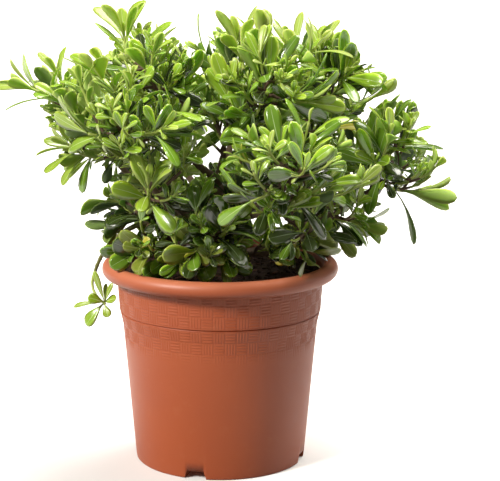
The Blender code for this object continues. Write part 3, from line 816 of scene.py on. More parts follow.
# Shoots that stand out in the photo, numbered from 60: by mass, the tip's place, its heading and
# its leaves' size. One that would meet another limb is tried again, each time further off.
LEADER_NUMBERS = range(60, 70)
LEADER_TRIES = 90
LEADER_SHIFT = 0.0003
LEADER_STRAIGHT = 0.045
LEADERS = {
    "upper_1": (
        ((0.080, -0.005, 0.444), (-0.2, 0, 1), 1.20),
        ((0.133, 0.030, 0.415), (0.5, 0, 1), 1.05),
        ((0.166, 0.010, 0.400), (1, 0, 0.7), 1.10),
        ((0.108, 0.010, 0.440), (0.1, 0, 1), 1.20),
    ),
    "upper_2": (
        ((0.072, 0.075, 0.452), (0.1, 0, 1), 0.85),
        ((-0.002, 0.072, 0.352), (-0.3, -0.3, 0.8), 0.90),
    ),
    "upper_3": (
        ((-0.104, 0.020, 0.466), (-0.1, 0, 1), 1.20),
        ((-0.088, 0.030, 0.462), (0.05, 0, 1), 0.80),
    ),
    "upper_4": (((-0.035, -0.050, 0.426), (0, 0, 1), 0.80),),
    "upper_5": (((0.020, -0.060, 0.462), (-0.1, 0, 1), 1.10),),
    "top": (
        ((0.045, 0.000, 0.454), (0.1, 0, 1), 1.20),
        ((-0.010, -0.026, 0.356), (-0.4, -0.8, 0.5), 0.90),
    ),
    "middle_1": (
        ((0.168, -0.040, 0.360), (0.9, -0.2, 0.7), 1.15),
        ((0.186, 0.000, 0.343), (1, 0, 0.35), 1.20),
        ((0.206, -0.012, 0.301), (1, 0.15, 0.02), 1.30),
        ((0.156, -0.020, 0.275), (1, -0.1, -0.3), 0.85),
        ((0.160, 0.000, 0.381), (0.5, 0, 1), 1.00),
    ),
    "middle_3": (((-0.024, 0.085, 0.336), (0.8, -0.3, 0.6), 1.0),),
    "middle_4": (
        ((-0.206, 0.000, 0.412), (-1, 0, 0.5), 1.05),
        ((-0.180, 0.040, 0.424), (-0.5, 0, 1), 0.85),
        ((-0.160, -0.040, 0.354), (-1, -0.2, 0.5), 0.90),
        ((-0.149, -0.010, 0.338), (-1, 0, -0.6), 1.00),
    ),
    "middle_5": (
        ((-0.122, -0.090, 0.432), (-0.4, 0, 1), 1.05),
        ((-0.072, -0.150, 0.326), (0, -0.5, 1), 1.10),
        ((-0.026, -0.098, 0.350), (0.6, -0.3, 0.7), 0.85),
    ),
    "middle_6": (((0.086, -0.140, 0.333), (0, -0.3, 1), 1.10),),
    "low_1": (
        ((0.148, 0.006, 0.266), (1, -0.2, -0.3), 0.90),
        ((0.128, 0.000, 0.248), (0.6, -0.4, -0.4), 0.80),
    ),
    "low_2": (
        ((-0.012, 0.070, 0.322), (-0.3, -0.4, 0.9), 1.10),
        ((-0.010, 0.050, 0.305), (-0.6, -0.6, 0.7), 1.00),
    ),
    "low_4": (
        ((-0.075, -0.060, 0.240), (-0.2, -1, 0.1), 0.95),
        ((-0.088, -0.048, 0.238), (-0.4, -0.9, 0), 0.90),
        ((-0.058, -0.058, 0.236), (0, -1, -0.1), 0.95),
        ((-0.110, -0.014, 0.262), (-0.6, -0.1, -0.7), 0.85),
        ((-0.126, -0.010, 0.289), (-1, 0, -0.15), 0.80),
    ),
    "low_5": (
        ((-0.028, -0.100, 0.309), (-0.1, -0.4, 1), 0.80),
        ((0.007, -0.100, 0.273), (0.6, -0.8, 0.5), 1.15),
        ((-0.026, -0.085, 0.247), (-0.2, -1, -0.2), 0.95),
        ((0.006, -0.085, 0.240), (0.3, -1, -0.3), 0.75),
        ((-0.044, -0.076, 0.234), (-0.3, -1, -0.1), 0.80),
    ),
    "low_6": (((0.058, -0.070, 0.250), (0.5, -1, 0), 0.75),),
}

# Twigs that the plant in the photo has lost, by mass and number, with all that grew on them.
LOST = {
    "upper_1": (9, 305, 609),
    "upper_3": (134, 321, 14402),
    "upper_4": (3, 502),
    "middle_1": (11, 24, 303, 2102, 6108, 6219, 6315, 6325, 6328, 31301, 622502),
    "middle_4": (15, 6307),
    "low_4": (3, 631, 5029),
}


def chance(low, high, *keys):
    """A number between low and high that depends on the keys alone."""
    return random.Random(repr(keys)).uniform(low, high)


def in_cell(mass, point, room):
    """Whether a ball round a point lies in the mass's own space, which a plane shares out
    between two masses, nearer to the smaller one."""
    for other in masses:
        if other is mass:
            continue
        between = other.centre - mass.centre
        excess = (point - other.centre).length_squared - other.reach**2
        excess -= (point - mass.centre).length_squared - mass.reach**2
        if excess / (2 * between.length) < room + CELL_GAP / 2:
            return False
    return True


def search_tree(points, faces):
    """A tree that finds what touches a mesh."""
    return BVHTree.FromPolygons([tuple(p) for p in points], faces)


def twig_tree(route, radii):
    """The search tree of a plain tapering tube."""
    return search_tree(*tube(route, np.linspace(radii[0], radii[1], len(route)), 5))


def on_route(route, share):
    """The point at a share of the way along a route, and the direction there."""
    at = min(share * (len(route) - 1), len(route) - 1.001)
    start, end = route[int(at)], route[int(at) + 1]
    return start.lerp(end, at % 1), (end - start).normalized()


def vigour(mass, number):
    """How large a twig's leaves are, as a share of the usual: some twigs are fine, with small
    leaves, and most are strong."""
    if number in LEADER_NUMBERS:
        return LEADERS[mass.name][number - LEADER_NUMBERS[0]][2]
    fine = chance(0, 1, mass.name, number, "fine") < FINE_SHARE
    return chance(*(FINE_SIZE if fine else STRONG_SIZE), mass.name, number, "vigour")


def shoot_routes(mass):
    """The routes of the shoots, their ends spread by the golden angle."""
    routes = []
    for k in range(1, SHOOTS):
        level = k / SHOOTS
        polar = math.acos(1 - level * (1 - math.cos(math.radians(SHOOT_SPREAD_DEG))))
        turn = GOLDEN_TURN * k + chance(0, math.tau, mass.name)
        out = leaning(mass.axis, turn, polar)
        length = (mass.reach - LEAF_LENGTH * SHORT_OF_REACH) * chance(*SHOOT_VARIES, mass.name, k)
        end = mass.centre + out * length
        foot, _ = on_route(mass.stem, 0.92 - 0.62 * level)
        span = (end - foot).length
        heading = (out + UP * SHOOT_RISE).normalized()
        controls = [foot, foot + mass.axis * span * 0.3, end - heading * span * 0.4, end]
        routes.append(bezier(controls, 7))
    return routes


def side_route(route, place, turn, lean, length, rise):
    """A side twig: it leaves the route at a lean, in the direction of a turn round it, and
    bends up towards its tip."""
    foot, ahead = on_route(route, place)
    heading = leaning(ahead, turn, lean)
    middle = foot + heading * length * 0.55
    end = middle + (heading + UP * rise * 1.6).normalized() * length * 0.5
    return bezier([foot, middle, end], 6)


def crown_share(point):
    """0 at the plant's heart and 1 at the crown's outer skin."""
    off = point - HEART
    side, back, up = CROWN_HALF
    return math.sqrt((off.x / side) ** 2 + (off.y / back) ** 2 + (max(off.z, 0) / up) ** 2)


def in_crown(point, spare):
    """Whether foliage grows there, with some room to spare. Under the crown, what gets no light
    has dropped: that limit rises with the distance from the trunk, and steeper on the left. The
    top falls off to the right, drops by a step to a flat shoulder on the left, and has a dip
    between its two groups of shoots, whose depth fades as exp(-(distance / half width) ** 2)."""
    away = math.hypot(point.x, point.y)
    right = point.x / max(away, 0.001)
    front = max(0, -point.y / max(away, 0.001))
    slope = 1.1 - 0.55 * right + 0.45 * right**2 + 0.6 * front
    low = CROWN_FOOT - 0.016 * right + slope * max(0, away - FOOT_LEVEL)
    fall = (0.94 + 0.36 * right) * max(0, away - TOP_LEVEL - 0.017 * right)
    start, width, depth = SHOULDER_STEP
    shoulder = depth * min(max((away - start) / width, 0), 1) + 0.40 * max(0, away - SHOULDER_LEVEL)
    left = max(0, -right) ** 0.5
    middle, half, deep = DIP
    dip = deep * math.exp(-(((point.x - middle) / half) ** 2))
    high = CROWN_TOP - fall * (1 - left) - shoulder * left - dip
    return low + spare * 0.4 < point.z < high - spare


def leading(mass, number):
    """How far a twig's leaves stay below the crown's limits: one in four leads, and grows a
    little beyond them. The placed leaders have no such limits."""
    if number in LEADER_NUMBERS:
        return -1
    drawn = chance(0, 1, mass.name, number, "leading")
    return -LEADS_BY if drawn < LEADING_SHARE else LAGS_BY * (drawn - LEADING_SHARE)


def leader_route(parents, tip, heading):
    """A curve that leaves the nearest of the parents' points and reaches a tip in its heading."""
    heading = Vector(heading).normalized()
    back = tip - heading * LEADER_STRAIGHT
    offers = [(number, point) for number, _, route, _ in parents for point in route[:-1]]
    number, foot = min(offers, key=lambda offer: (offer[1] - back).length)
    span = (tip - foot).length
    return number, bezier([foot, tip - heading * span * 0.55, tip], 9)


def side_offers(mass, parents, kind):
    """Every try at a side twig or spur on the parents: how far out in the crown its tip is, its
    number, its parent's number and its route."""
    tries, leans, lengths, _, places = SIDE_RULES[kind]
    for number, _, parent, _ in parents:
        for i in range(tries):
            key = (mass.name, number, kind, i)
            place = places[0] + (places[1] - places[0]) * (0.618 * i % 1)
            turn = GOLDEN_TURN * i + chance(0, math.tau, *key[:3])
            lean = math.radians(chance(*leans, *key, "lean"))
            length = chance(*lengths, *key, "length")
            foot, _ = on_route(parent, place)
            sideways = math.hypot(foot.x, foot.y) / CROWN_HALF[0]
            route = side_route(parent, place, turn, lean, length, TWIG_RISE * (1 - 0.55 * sideways))
            yield crown_share(route[-1]), number * SIDE_NUMBERS + i + 1, number, route


def within_reach(mass, number, tip):
    """Whether a side twig's tip, with its leaves, stays in the mass's reach, which is wider in
    the plant's heart."""
    short = LEAF_LENGTH * chance(*TIP_SHORT_OF_REACH, mass.name, number, "short")
    limit = mass.reach - short + VALLEY_REACH + INNER_REACH * max(0, 1 - crown_share(tip) / 0.6)
    return (tip - mass.centre).length <= limit


def tip_room(mass, number, kind, tip):
    """How far a tip stays from all others: a side twig's further in the mass's outer part, and
    less far where it is fine."""
    room = chance(*SIDE_RULES[kind][3], mass.name, number, "room")
    if kind == "spur":
        return room
    outward = (tip - mass.centre).length / mass.reach
    room += TIP_SPACING_OUTSIDE * min(max((outward - 0.35) / 0.35, 0), 1)
    return room * (0.45 + 0.55 * vigour(mass, number))


def parent_number(number, kind):
    """The number of the twig that a side twig or a spur grows on."""
    return (number - 1 - SPUR_NUMBERS * (kind == "spur")) // SIDE_NUMBERS


def pot_guard():
    """A search tree of the pot's outside and the compost's top, grown by the gap leaves keep."""
    roll = ROLL_RADIUS + LIMB_GAP
    centre = (RIM_RADIUS - ROLL_RADIUS, POT_HEIGHT - ROLL_RADIUS)
    top = COMPOST_TOP + LIMB_GAP + LEAF_CLEARANCE
    profile = [(0.001, top), (centre[0] - roll, top), *arc(centre, roll, 180, -90, 9)]
    profile += [(BAND_TOP_RADIUS + LIMB_GAP, centre[1] - roll), (BASE_RADIUS + LIMB_GAP, 0)]
    turn = np.arange(48) * 2 * math.pi / 48
    rings = [around(radius, turn, height) for radius, height in profile]
    return search_tree(np.concatenate(rings), grid_faces(len(profile), 48).tolist())


limb_trees = [pot_guard()]
trunk_heights = np.linspace(TRUNK_FOOT.z, TRUNK_TOP.z, 9)
trunk_skin = tube([trunk_point(z) for z in trunk_heights], trunk_radius(trunk_heights) + LIMB_GAP, 10)
limb_trees.append(search_tree(*trunk_skin))
for mass in masses:
    if mass.bough:
        grown = [BOUGH_FOOT_RADIUS + LIMB_GAP, BOUGH_TIP_RADIUS + LIMB_GAP]
        limb_trees.append(twig_tree(bezier(mass.bough, 7), grown))
stem_trees = {m.name: twig_tree(m.stem, [r + LIMB_GAP for r in TWIG_RADII["stem"]]) for m in masses}


def grow_twigs(mass):
    """The mass's stem, the leaders and shoots that keep clear of its neighbours, and the side
    twigs and spurs whose tips find room: (mass, number, kind, route, search tree). Those furthest
    out in the crown are tried first."""
    kept = [(0, "stem", mass.stem, twig_tree(mass.stem, TWIG_RADII["stem"]))]
    if mass.name == "sprig":
        return [(mass, *kept[0])]
    others = limb_trees + [tree for name, tree in stem_trees.items() if name != mass.name]

    def fits(route, kind, number):
        tree = twig_tree(route[1:], TWIG_RADII[kind])
        inside = all(in_cell(mass, p, TWIG_RADII[kind][0]) for p in route)
        near = [t for n, _, _, t in kept if n != number]
        return tree if inside and not any(tree.overlap(o) for o in others + near) else None

    limb = [trunk_point(z) for z in np.linspace(*TRUNK_BEARS, 6)]
    if mass.bough:
        limb = bezier(mass.bough, 12)[4:]
    bough = [(BOUGH_NUMBER, "bough", limb, None)]
    for i, (tip, heading, _) in enumerate(LEADERS.get(mass.name, ())):
        for j in range(LEADER_TRIES):
            off = Vector([chance(-1, 1, mass.name, i, j, axis) for axis in "xyz"]) * LEADER_SHIFT * j
            number, route = leader_route(kept[:1] + bough, Vector(tip) + off, heading)
            tree = fits(route, "shoot", number)
            if tree:
                kept.append((LEADER_NUMBERS[i], "shoot", route, tree))
                break
    for k, route in enumerate(shoot_routes(mass), 1):
        tree = fits(route, "shoot", 0)
        if tree and in_crown(route[-1], SHOOT_SPARE):
            kept.append((k, "shoot", route, tree))
    tips = [route[-1] for _, _, route, _ in kept]
    for kind in SIDE_RULES:
        offers = side_offers(mass, kept + bough, kind)
        for _, own_number, number, route in sorted(offers, key=lambda offer: -offer[0]):
            tip = route[-1]
            if kind == "twig" and not within_reach(mass, own_number, tip):
                continue
            if not in_crown(tip + TIP_BELOW_LIMIT, leading(mass, own_number)):
                continue
            room = tip_room(mass, own_number, kind, tip)
            if any((tip - t).length < room for t in tips):
                continue
            tree = fits(route, kind, number)
            if tree:
                kept.append((own_number + SPUR_NUMBERS * (kind == "spur"), kind, route, tree))
                tips.append(tip)
    lost = set(LOST.get(mass.name, ()))
    for number, kind, _, _ in kept:
        if parent_number(number, kind) in lost:
            lost.add(number)
    return [(mass, *twig) for twig in kept if twig[0] not in lost]


twigs_grown = [twig for mass in masses for twig in grow_twigs(mass)]

# Where the leaves grow
# They stand in whorls at the twigs' ends, small and upright inside, longer and spreading outside,
# with older ones further down. A leaf that would touch another twig or its leaves turns away.

WHORL_FIRST = 0.0012
WHORL_PITCH = 0.0020
OLDER_FIRST = 0.014
OLDER_PITCH = 0.0085
LEAN_INNER_DEG = 8
LEAN_OUTER_DEG = 54
LEADER_LEAN_DEG = 44
OLDER_LEAN_DEG = (32, 72)
LEAN_TRIES = (1, 0.72, 0.45)
TURN_TRIES_DEG = (0, 38, -38, 76)
LEAN_VARIES_DEG = 9
OLDER_VARIES = 0.003
LENGTH_VARIES = (0.86, 1.12)
LEAF_SHORTEST = 0.30
LEAF_WIDTH = 0.30
# Up to which share of its length a twig bears leaves, and how weak one with an extra leaf is.
BARE_FOOT = 0.85
WEAK = 0.7
# For a kind of twig: its leaves' size, how many stand in its whorl and how many older ones below.
BEARING = {"stem": (0.95, 6, 5), "shoot": (0.90, 6, 5), "twig": (0.85, 5, 4), "spur": (0.34, 6, 0)}
LEADER_OLDER = 3

# The share of its leaves that a mass keeps. Low on the right in front the plant is half bare, and
# the compost shows.
LEAFINESS = {
    "low_1": 0.8, "low_4": 0.8, "low_6": 0.5, "middle_6": 0.9, "upper_1": 0.87, "upper_2": 0.87, "top": 0.87
}

# The sprig's leaves as they stand in the photo: heading, length, and breadth as a share of usual.
SPRIG_FACING = Vector((-0.15, -0.75, 0.60))
SPRIG_LEAF_PITCH = 0.0006
SPRIG_AGE = 0.6
SPRIG_LEAVES = (
    ((-0.29, -0.05, 0.96), 0.041, 0.75),
    ((0.07, 0.15, 0.98), 0.023, 0.7),
    ((0.36, -0.05, 0.90), 0.026, 0.8),
    ((-0.86, -0.30, 0.36), 0.021, 2.1),
    ((-0.62, -0.10, -0.78), 0.033, 2.0),
    ((0.30, -0.45, -0.80), 0.018, 2.2),
    ((0.80, -0.40, 0.34), 0.018, 2.1),
    ((-0.96, 0.18, -0.20), 0.036, 0.7),
)

Leaf = namedtuple("Leaf", "root heading facing length age breadth kind mass number place")
# By cell of a grid: the middle, half the length, the twig and the search tree of each leaf there.
CELL = 0.03
room_taken = {}


def along(route, back):
    """The point at a distance back from a route's end, and the direction there."""
    for i in range(len(route) - 1, 0, -1):
        step = route[i] - route[i - 1]
        if back <= step.length or i == 1:
            direction = step.normalized()
            return route[i] - direction * back, direction
        back -= step.length


def leaf_breadth(root, length, older):
    """How broad a leaf is for its length: old, short and low leaves are the roundest."""
    low = min(max((0.36 - root.z - 0.04 * crown_share(root)) / 0.07, 0), 1)
    return (1 + 0.12 * older + 0.42 * low) * min(0.050 / length, 1) ** 0.8


def leaf_shape(root, direction, facing, length, breadth):
    """An eight-faced stand-in of a leaf, to find what it touches. Its third point is the tip."""
    side = direction.cross(facing).normalized() * length * breadth * LEAF_WIDTH / 2
    middle, ridge = root + direction * length * 0.70, root + direction * length * 0.45
    thick = facing * 0.0006
    rim = [root + direction * 0.004, middle + side, root + direction * length, middle - side]
    faces = [(i, (i + 1) % 4, 4) for i in range(4)] + [((i + 1) % 4, i, 5) for i in range(4)]
    return [*rim, ridge + thick, ridge - thick], faces


def whorl(mass, number, kind, route):
    """Each leaf of a twig, from the innermost out and then down the twig: where it grows, the
    twig's direction there, its turn, lean, length and share of full age."""
    size, count, older = BEARING[kind]
    outer = LEAN_OUTER_DEG
    if number in LEADER_NUMBERS:
        outer, older = LEADER_LEAN_DEG, LEADER_OLDER
    strength = vigour(mass, number)
    full = strength * LEAF_LENGTH * size
    if strength < WEAK:
        count += 1
    span = sum((b - a).length for a, b in zip(route, route[1:]))
    for j in range(count + older):
        key = (mass.name, number, j)
        share = min(j / (count - 1), 1)
        back = WHORL_FIRST + WHORL_PITCH * j * min(size * 1.2, 1)
        lean = LEAN_INNER_DEG + (outer - LEAN_INNER_DEG) * share
        lean += chance(-LEAN_VARIES_DEG, LEAN_VARIES_DEG, *key, "lean")
        if j >= count:
            back = OLDER_FIRST + OLDER_PITCH * (j - count)
            back += chance(-OLDER_VARIES, OLDER_VARIES, *key, "back")
            back *= min(0.5 + 0.5 * strength, 1)
            lean = chance(*OLDER_LEAN_DEG, *key, "lean")
            if back > span * BARE_FOOT:
                return
        root, ahead = along(route, back)
        turn = GOLDEN_TURN * j + chance(0, math.tau, *key[:2], "turn")
        length = full * (LEAF_SHORTEST + (1 - LEAF_SHORTEST) * math.sin(math.pi / 2 * share) ** 0.8)
        length *= chance(*LENGTH_VARIES, *key, "length")
        yield root, ahead, turn, math.radians(lean), length, share + 0.12 * max(j - count + 1, 0)


def ways_to_stand(ahead, turn, lean):
    """The heading and facing of each way in which a leaf may stand on its twig, the best first."""
    for lean_share, turn_by in itertools.product(LEAN_TRIES, TURN_TRIES_DEG):
        heading = leaning(ahead, turn + math.radians(turn_by), lean * lean_share)
        yield heading, (ahead - heading * ahead.dot(heading)).normalized()


def takes_room(mass, leaf, others):
    """Whether a leaf stays in its mass's space and in the crown and touches no other twig and
    none of its leaves. Where it does, its room is noted as taken."""
    points, faces = leaf_shape(leaf.root, leaf.heading, leaf.facing, leaf.length, leaf.breadth)
    if not all(in_cell(mass, p, 0) for p in points):
        return False
    if not in_crown(points[2], leading(mass, leaf.number)):
        return False
    tree = search_tree(points, faces)
    if any(tree.overlap(o) for o in others):
        return False
    half, twig = leaf.length / 2, (leaf.mass, leaf.number)
    middle = leaf.root + leaf.heading * leaf.length / 2
    cell = tuple(int(c // CELL) for c in middle)
    for near_cell in itertools.product(*[(c - 1, c, c + 1) for c in cell]):
        for its_middle, its_half, its_twig, its_tree in room_taken.get(near_cell, ()):
            is_near = its_twig != twig and (middle - its_middle).length < half + its_half
            if is_near and tree.overlap(its_tree):
                return False
    room_taken.setdefault(cell, []).append((middle, half, twig, tree))
    return True


leaves = []
for mass, number, kind, route, _ in twigs_grown:
    if mass.name == "sprig":
        for j, (heading, length, breadth) in enumerate(SPRIG_LEAVES):
            heading = Vector(heading).normalized()
            facing = (SPRIG_FACING - heading * SPRIG_FACING.dot(heading)).normalized()
            root = route[-1] - (route[-1] - route[-2]).normalized() * SPRIG_LEAF_PITCH * j
            placed = (root, heading, facing, length, SPRIG_AGE, breadth)
            leaves.append(Leaf(*placed, kind, mass.name, number, j))
        continue
    near_twigs = [t for m, n, _, _, t in twigs_grown if m is mass and n != number]
    others = limb_trees + near_twigs + [t for name, t in stem_trees.items() if name != mass.name]
    for j, (root, ahead, turn, lean, length, age) in enumerate(whorl(mass, number, kind, route)):
        if chance(0, 1, mass.name, number, j, "kept") > LEAFINESS.get(mass.name, 1):
            continue
        breadth = leaf_breadth(root, length, age > 1)
        for heading, facing in ways_to_stand(ahead, turn, lean):
            leaf = Leaf(root, heading, facing, length, age, breadth, kind, mass.name, number, j)
            if takes_room(mass, leaf, others):
                leaves.append(leaf)
                break

# The twigs
# The wood is brown near a twig's foot and green further out. A twig ends at the last leaf or
# twig that it carries, because what grew past that without light has died back.

DIED_BACK = 0.005
ON_TWIG = 0.0011
# A kind of twig's piece, how many sides its skin has and how much of its length is brown.
TWIG_PIECES = {
    "stem": ("mass_stems", 10, 0.9),
    "shoot": ("shoots", 7, 0.6),
    "twig": ("side_twigs", 6, 0.3),
    "spur": ("leafy_spurs", 5, 0.0),
}

carried = {m.name: [leaf.root for leaf in leaves if leaf.mass == m.name] for m in masses}
for mass, _, _, route, _ in twigs_grown:
    carried[mass.name].append(route[0])
carried = {name: np.array(places) for name, places in carried.items()}

# Old wood: brown and dull. New wood: green, smooth and a little waxy.
old_wood = shade(new_finish("brown_twig_wood"), Base_Color=linear("#5A4632"), Roughness=0.75)
new_wood = shade(new_finish("green_shoot_skin"), Base_Color=linear("#A9B85A"), Roughness=0.45, IOR=1.40)


def drawn_through(route, spots):
    """The points at these places along a route, counted in its points."""
    steps = np.arange(len(route))
    return np.stack([np.interp(spots, steps, axis) for axis in np.array(route).T], axis=1)


def live_end(mass, route):
    """How far along a route, counted in its points, the last leaf or twig on it grows, or the
    whole way where that is within DIED_BACK of its end."""
    spots = np.linspace(0, len(route) - 1, 60)
    fine = drawn_through(route, spots)
    gaps = np.linalg.norm(fine[:, None] - carried[mass.name], axis=2).min(axis=1)
    last = np.flatnonzero(gaps < ON_TWIG)[-1]
    return spots[-1] if np.linalg.norm(fine[-1] - fine[last]) < DIED_BACK else spots[last]


def twig_skins(kind, sides, brown_share):
    """The skins of all grown twigs of a kind, each along a curve drawn through its route. The
    part next to the foot is brown, the rest green. What died back to its foot has dropped."""
    skins, worn = [], []
    for mass, _, own_kind, route, _ in twigs_grown:
        if own_kind != kind:
            continue
        end = live_end(mass, route)
        if end <= 1:
            continue
        slim = SPRIG_SLIM if mass.name == "sprig" else 1
        count = 2 * len(route) + 3
        fine = drawn_through(route, np.linspace(0, end, count))
        skins.append(tube(fine, slim * np.linspace(*TWIG_RADII[kind], count), sides))
        ring = np.repeat(np.arange(count - 1) / (count - 1), sides)
        worn.append(np.concatenate([ring > brown_share * (slim == 1), [False, True]]))
    return (*join(skins), [old_wood, new_wood], np.concatenate(worn).astype(int))


for kind, (name, sides, brown_share) in TWIG_PIECES.items():
    piece = add_piece(name, *twig_skins(kind, sides, brown_share))
    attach(piece, "root")
    if kind == "stem":
        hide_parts(*["foliage_" + m.name for m in masses])

# The leaves
# Leathery leaves, widest near their round tips, with a waxy skin over green. The older one is the
# darker, the glossier and the bluer it gets. Its underside is paler and dull, its midrib palest.

# How a leaf bends and cups: a start, its change with age, and its chance. Its twist and breadth
# vary by chance alone.
LEAF_BEND = (0.30, 0.30, 0.24)
LEAF_CUP = (0.50, -0.28, 0.16)
LEAF_TWIST = 0.35
BREADTH_VARIES = 0.22
LEAF_ROLL = 0.14
LEAF_THICKNESS = 0.0004
RIB_HALF = 0.0006
RIB_WIDEST = 0.4
KEEL = 0.0006
STALK_SHARE = 0.085
# How far along a leaf its rows lie, how far across the corners of its face lie, and the finish of
# the faces round a row: 0 on its face, 1 on the midrib and 2 below.
ROWS = 1 - (1 - np.arange(7) / 7) ** 1.5
ACROSS = np.array([-1, -0.55, -0.08, 0.08, 0.55, 1])
ROUND_FINISHES = np.array([0, 0, 1, 0, 0, 2, 2])

# A tint: its name, the colours of face, underside and midrib, its roughness and its wax. Each is
# one plain colour. The first six follow one another as a leaf ages.
TINTS = (
    ("newest", "#A1B74C", "#AFBF6B", "#C8D594", 0.30, 0.10),
    ("fresh", "#97B336", "#A6BD5F", "#C1D388", 0.26, 0.13),
    ("spring", "#8FB130", "#A2BB5D", "#B9D07E", 0.22, 0.2),
    ("grown", "#7FA62C", "#99B25A", "#ADC677", 0.20, 0.3),
    ("deep", "#628325", "#79914E", "#97AF6B", 0.17, 0.4),
    # shaded: an old inner leaf's green darkened further, painted shade for the crown's crevices.
    ("shaded", "#36441A", "#4C5C38", "#72835C", 0.22, 0.35),
    ("olive", "#7D8A30", "#8F9854", "#A9B070", 0.34, 0.0),
    ("yellowing", "#BDB440", "#C4BC62", "#D8D28C", 0.40, 0.0),
)
AGED_TINTS = [tint[0] for tint in TINTS[:6]]
# Below a height the leaves are dull: up to which chance each tint is dealt out there.
DULL_BELOW = 0.262
# Among these is the shaded tint: painted shade under the crown.
DULL_TINTS = ((0.30, "shaded"), (0.58, "olive"), (0.82, "deep"), (0.95, "grown"), (1, "yellowing"))
YELLOWING_SHARE = 0.02
SPRIG_OLDER_LEAVES = (3, 4)
LEADER_YOUTH = 0.22
LIGHT_THROUGH = (0.003, 0.004, 0.001)
THROUGH_SHARE = 0.5


def half_width(u):
    """The outline: u ** 1.8 times (1 - u) ** 0.62, scaled to 1 where it is widest, over a
    stalk that is a twelfth as wide."""
    widest = 1.8 / 2.42
    shape = (u / widest) ** 1.8 * ((1 - u) / (1 - widest)) ** 0.62
    return np.maximum(shape, STALK_SHARE)


def leaf_meshes(chosen):
    """All the chosen leaves as one list of points and faces, with each face's finish.

    With u along a leaf and v across it, its spine is an arc that bends away from its face, and a
    point lies off the spine by half_width(u) times v sideways, and by a cup that grows with
    |v| ** 1.3 and rolls back at the margin with v ** 4. The underside has one keel."""
    root, heading, facing = (np.array([leaf[i] for leaf in chosen]) for i in range(3))
    length, share, breadth = (
        np.array([leaf[i] for leaf in chosen])[:, None, None] for i in range(3, 6)
    )
    dice = [random.Random(repr(leaf[7:])) for leaf in chosen]
    draw = np.array([[d.uniform(-1, 1) for _ in range(4)] for d in dice])[..., None, None]
    bend = LEAF_BEND[0] + LEAF_BEND[1] * share + LEAF_BEND[2] * draw[:, 0]
    cup = LEAF_CUP[0] + LEAF_CUP[1] * share + LEAF_CUP[2] * draw[:, 1]
    twist = LEAF_TWIST * draw[:, 2]
    broad = length * breadth * LEAF_WIDTH / 2 * (1 + BREADTH_VARIES * draw[:, 3])

    across = np.cross(heading, facing)[:, None, None]
    heading, facing = heading[:, None, None], facing[:, None, None]
    cos, sin = np.cos(bend / 2)[..., None], np.sin(bend / 2)[..., None]
    foot_ahead, foot_up = heading * cos + facing * sin, facing * cos - heading * sin
    u = np.append(ROWS, 1.0)[None, :, None]
    turned = bend * u
    onward = (length * np.sin(turned) / bend)[..., None] * foot_ahead
    spine = onward - (length * (1 - np.cos(turned)) / bend)[..., None] * foot_up
    cos, sin = np.cos(turned)[..., None], np.sin(turned)[..., None]
    ahead, normal = foot_ahead * cos - foot_up * sin, foot_up * cos + foot_ahead * sin
    roll = (twist * u)[..., None]
    side = across * np.cos(roll) + normal * np.sin(roll)
    normal = np.cross(side, ahead)

    width = broad * half_width(u)
    rib = np.minimum(RIB_HALF * (1.15 - u) / width, RIB_WIDEST)
    v = np.broadcast_to(ACROSS, (*width.shape[:2], len(ACROSS)))
    v = np.concatenate([v[..., :2], -rib, rib, v[..., 4:], np.zeros_like(rib)], axis=2)
    lift = width * (cup * np.abs(v) ** 1.3 - LEAF_ROLL * v**4) + LEAF_THICKNESS * (1 - v**2)
    lift[..., -1] = -LEAF_THICKNESS - KEEL * (1.1 - u[..., 0])
    points = root[:, None, None] + spine + side * (width * v)[..., None] + normal * lift[..., None]
    body = points[:, :-1].reshape(len(chosen), -1, 3)
    points = np.concatenate([body, root[:, None] + spine[:, -1]], axis=1)

    rows, ring = len(ROWS), len(ROUND_FINISHES)
    last = (rows - 1) * ring + np.arange(ring)
    tips = np.stack([last, np.roll(last, -1), np.full(ring, rows * ring)], axis=1)
    start = (np.arange(len(chosen)) * (rows * ring + 1))[:, None]
    faces = (grid_faces(rows, ring)[None] + start[..., None]).reshape(-1, 4).tolist()
    faces += (tips[None] + start[..., None]).reshape(-1, 3).tolist()
    faces += (np.arange(ring)[::-1] + start).tolist()
    worn = np.append(np.tile(ROUND_FINISHES, rows * len(chosen)), np.full(len(chosen), 1))
    return points.reshape(-1, 3), faces, worn


by_name = {mass.name: mass for mass in masses}


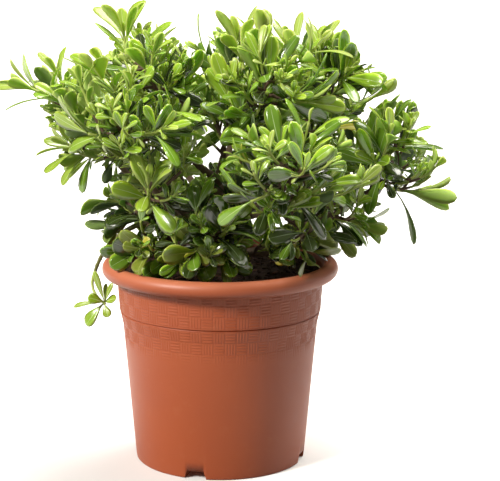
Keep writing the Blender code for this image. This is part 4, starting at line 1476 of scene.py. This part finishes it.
def leaf_tint(leaf):
    """Which tint a leaf has: it darkens with its age, a little by chance, and towards the heart of its
    mass and of the plant and lower down, partly as older leaves do and partly as painted shade. Spurs,
    the crown's top and the leaders stay young, the top lighter partly as painted light. Low down it is
    dull, olive or, now and then, yellowing."""
    drawn = chance(0, 1, *leaf[7:], "tint")
    if leaf.mass == "sprig":
        return "spring" if leaf.place in SPRIG_OLDER_LEAVES else "fresh"
    height = leaf.root.z
    if height < DULL_BELOW and leaf.kind != "spur":
        return next(tint for share, tint in DULL_TINTS if drawn < share)
    mass = by_name[leaf.mass]
    # Partly painted shade: leaves nearer the middle of their mass and of the plant are darker.
    depth = 1 - min((leaf.root - mass.centre).length / mass.reach / 0.75, 1)
    age = -0.14 + 0.46 * leaf.age + 0.90 * (1 - min(crown_share(leaf.root), 1)) + 0.5 * depth
    # Partly painted shade and light: lower leaves are darker, the highest lighter.
    age += 0.7 * max(0, 0.345 - height) - 1.6 * max(0, height - 0.37)
    age -= 0.08 * (leaf.kind == "twig") + 0.7 * (leaf.kind == "spur")
    age -= LEADER_YOUTH * (leaf.number in LEADER_NUMBERS)
    age += chance(-0.26, 0.26, *leaf[7:9], "age") + chance(-0.10, 0.10, *leaf[7:], "age")
    tint = AGED_TINTS[min(max(int(age * 5), 0), 5)]
    return "yellowing" if tint == "grown" and drawn < YELLOWING_SHARE else tint


tinted = {tint[0]: [] for tint in TINTS}
for leaf in leaves:
    tinted[leaf_tint(leaf)].append(leaf)
for name, face_colour, under_colour, rib_colour, roughness, wax in TINTS:
    face = shade(
        new_finish(f"{name}_leaf_face"),
        Base_Color=linear(face_colour),
        Roughness=roughness,
        IOR=1.5,
        Coat_Weight=wax,
        Coat_Roughness=0.10,
        Subsurface_Weight=THROUGH_SHARE,
        Subsurface_Radius=LIGHT_THROUGH,
        Subsurface_Scale=1.0,
    )
    rib = shade(new_finish(f"{name}_leaf_midrib"), Base_Color=linear(rib_colour), Roughness=0.45)
    under = shade(
        new_finish(f"{name}_leaf_underside"),
        Base_Color=linear(under_colour),
        Roughness=0.6,
        IOR=1.35,
        Subsurface_Weight=THROUGH_SHARE,
        Subsurface_Radius=LIGHT_THROUGH,
        Subsurface_Scale=1.0,
    )
    points, faces, worn = leaf_meshes(tinted[name])
    piece = add_piece(f"{name}_leaves", points, faces, [face, rib, under], worn)
    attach(piece, "root")
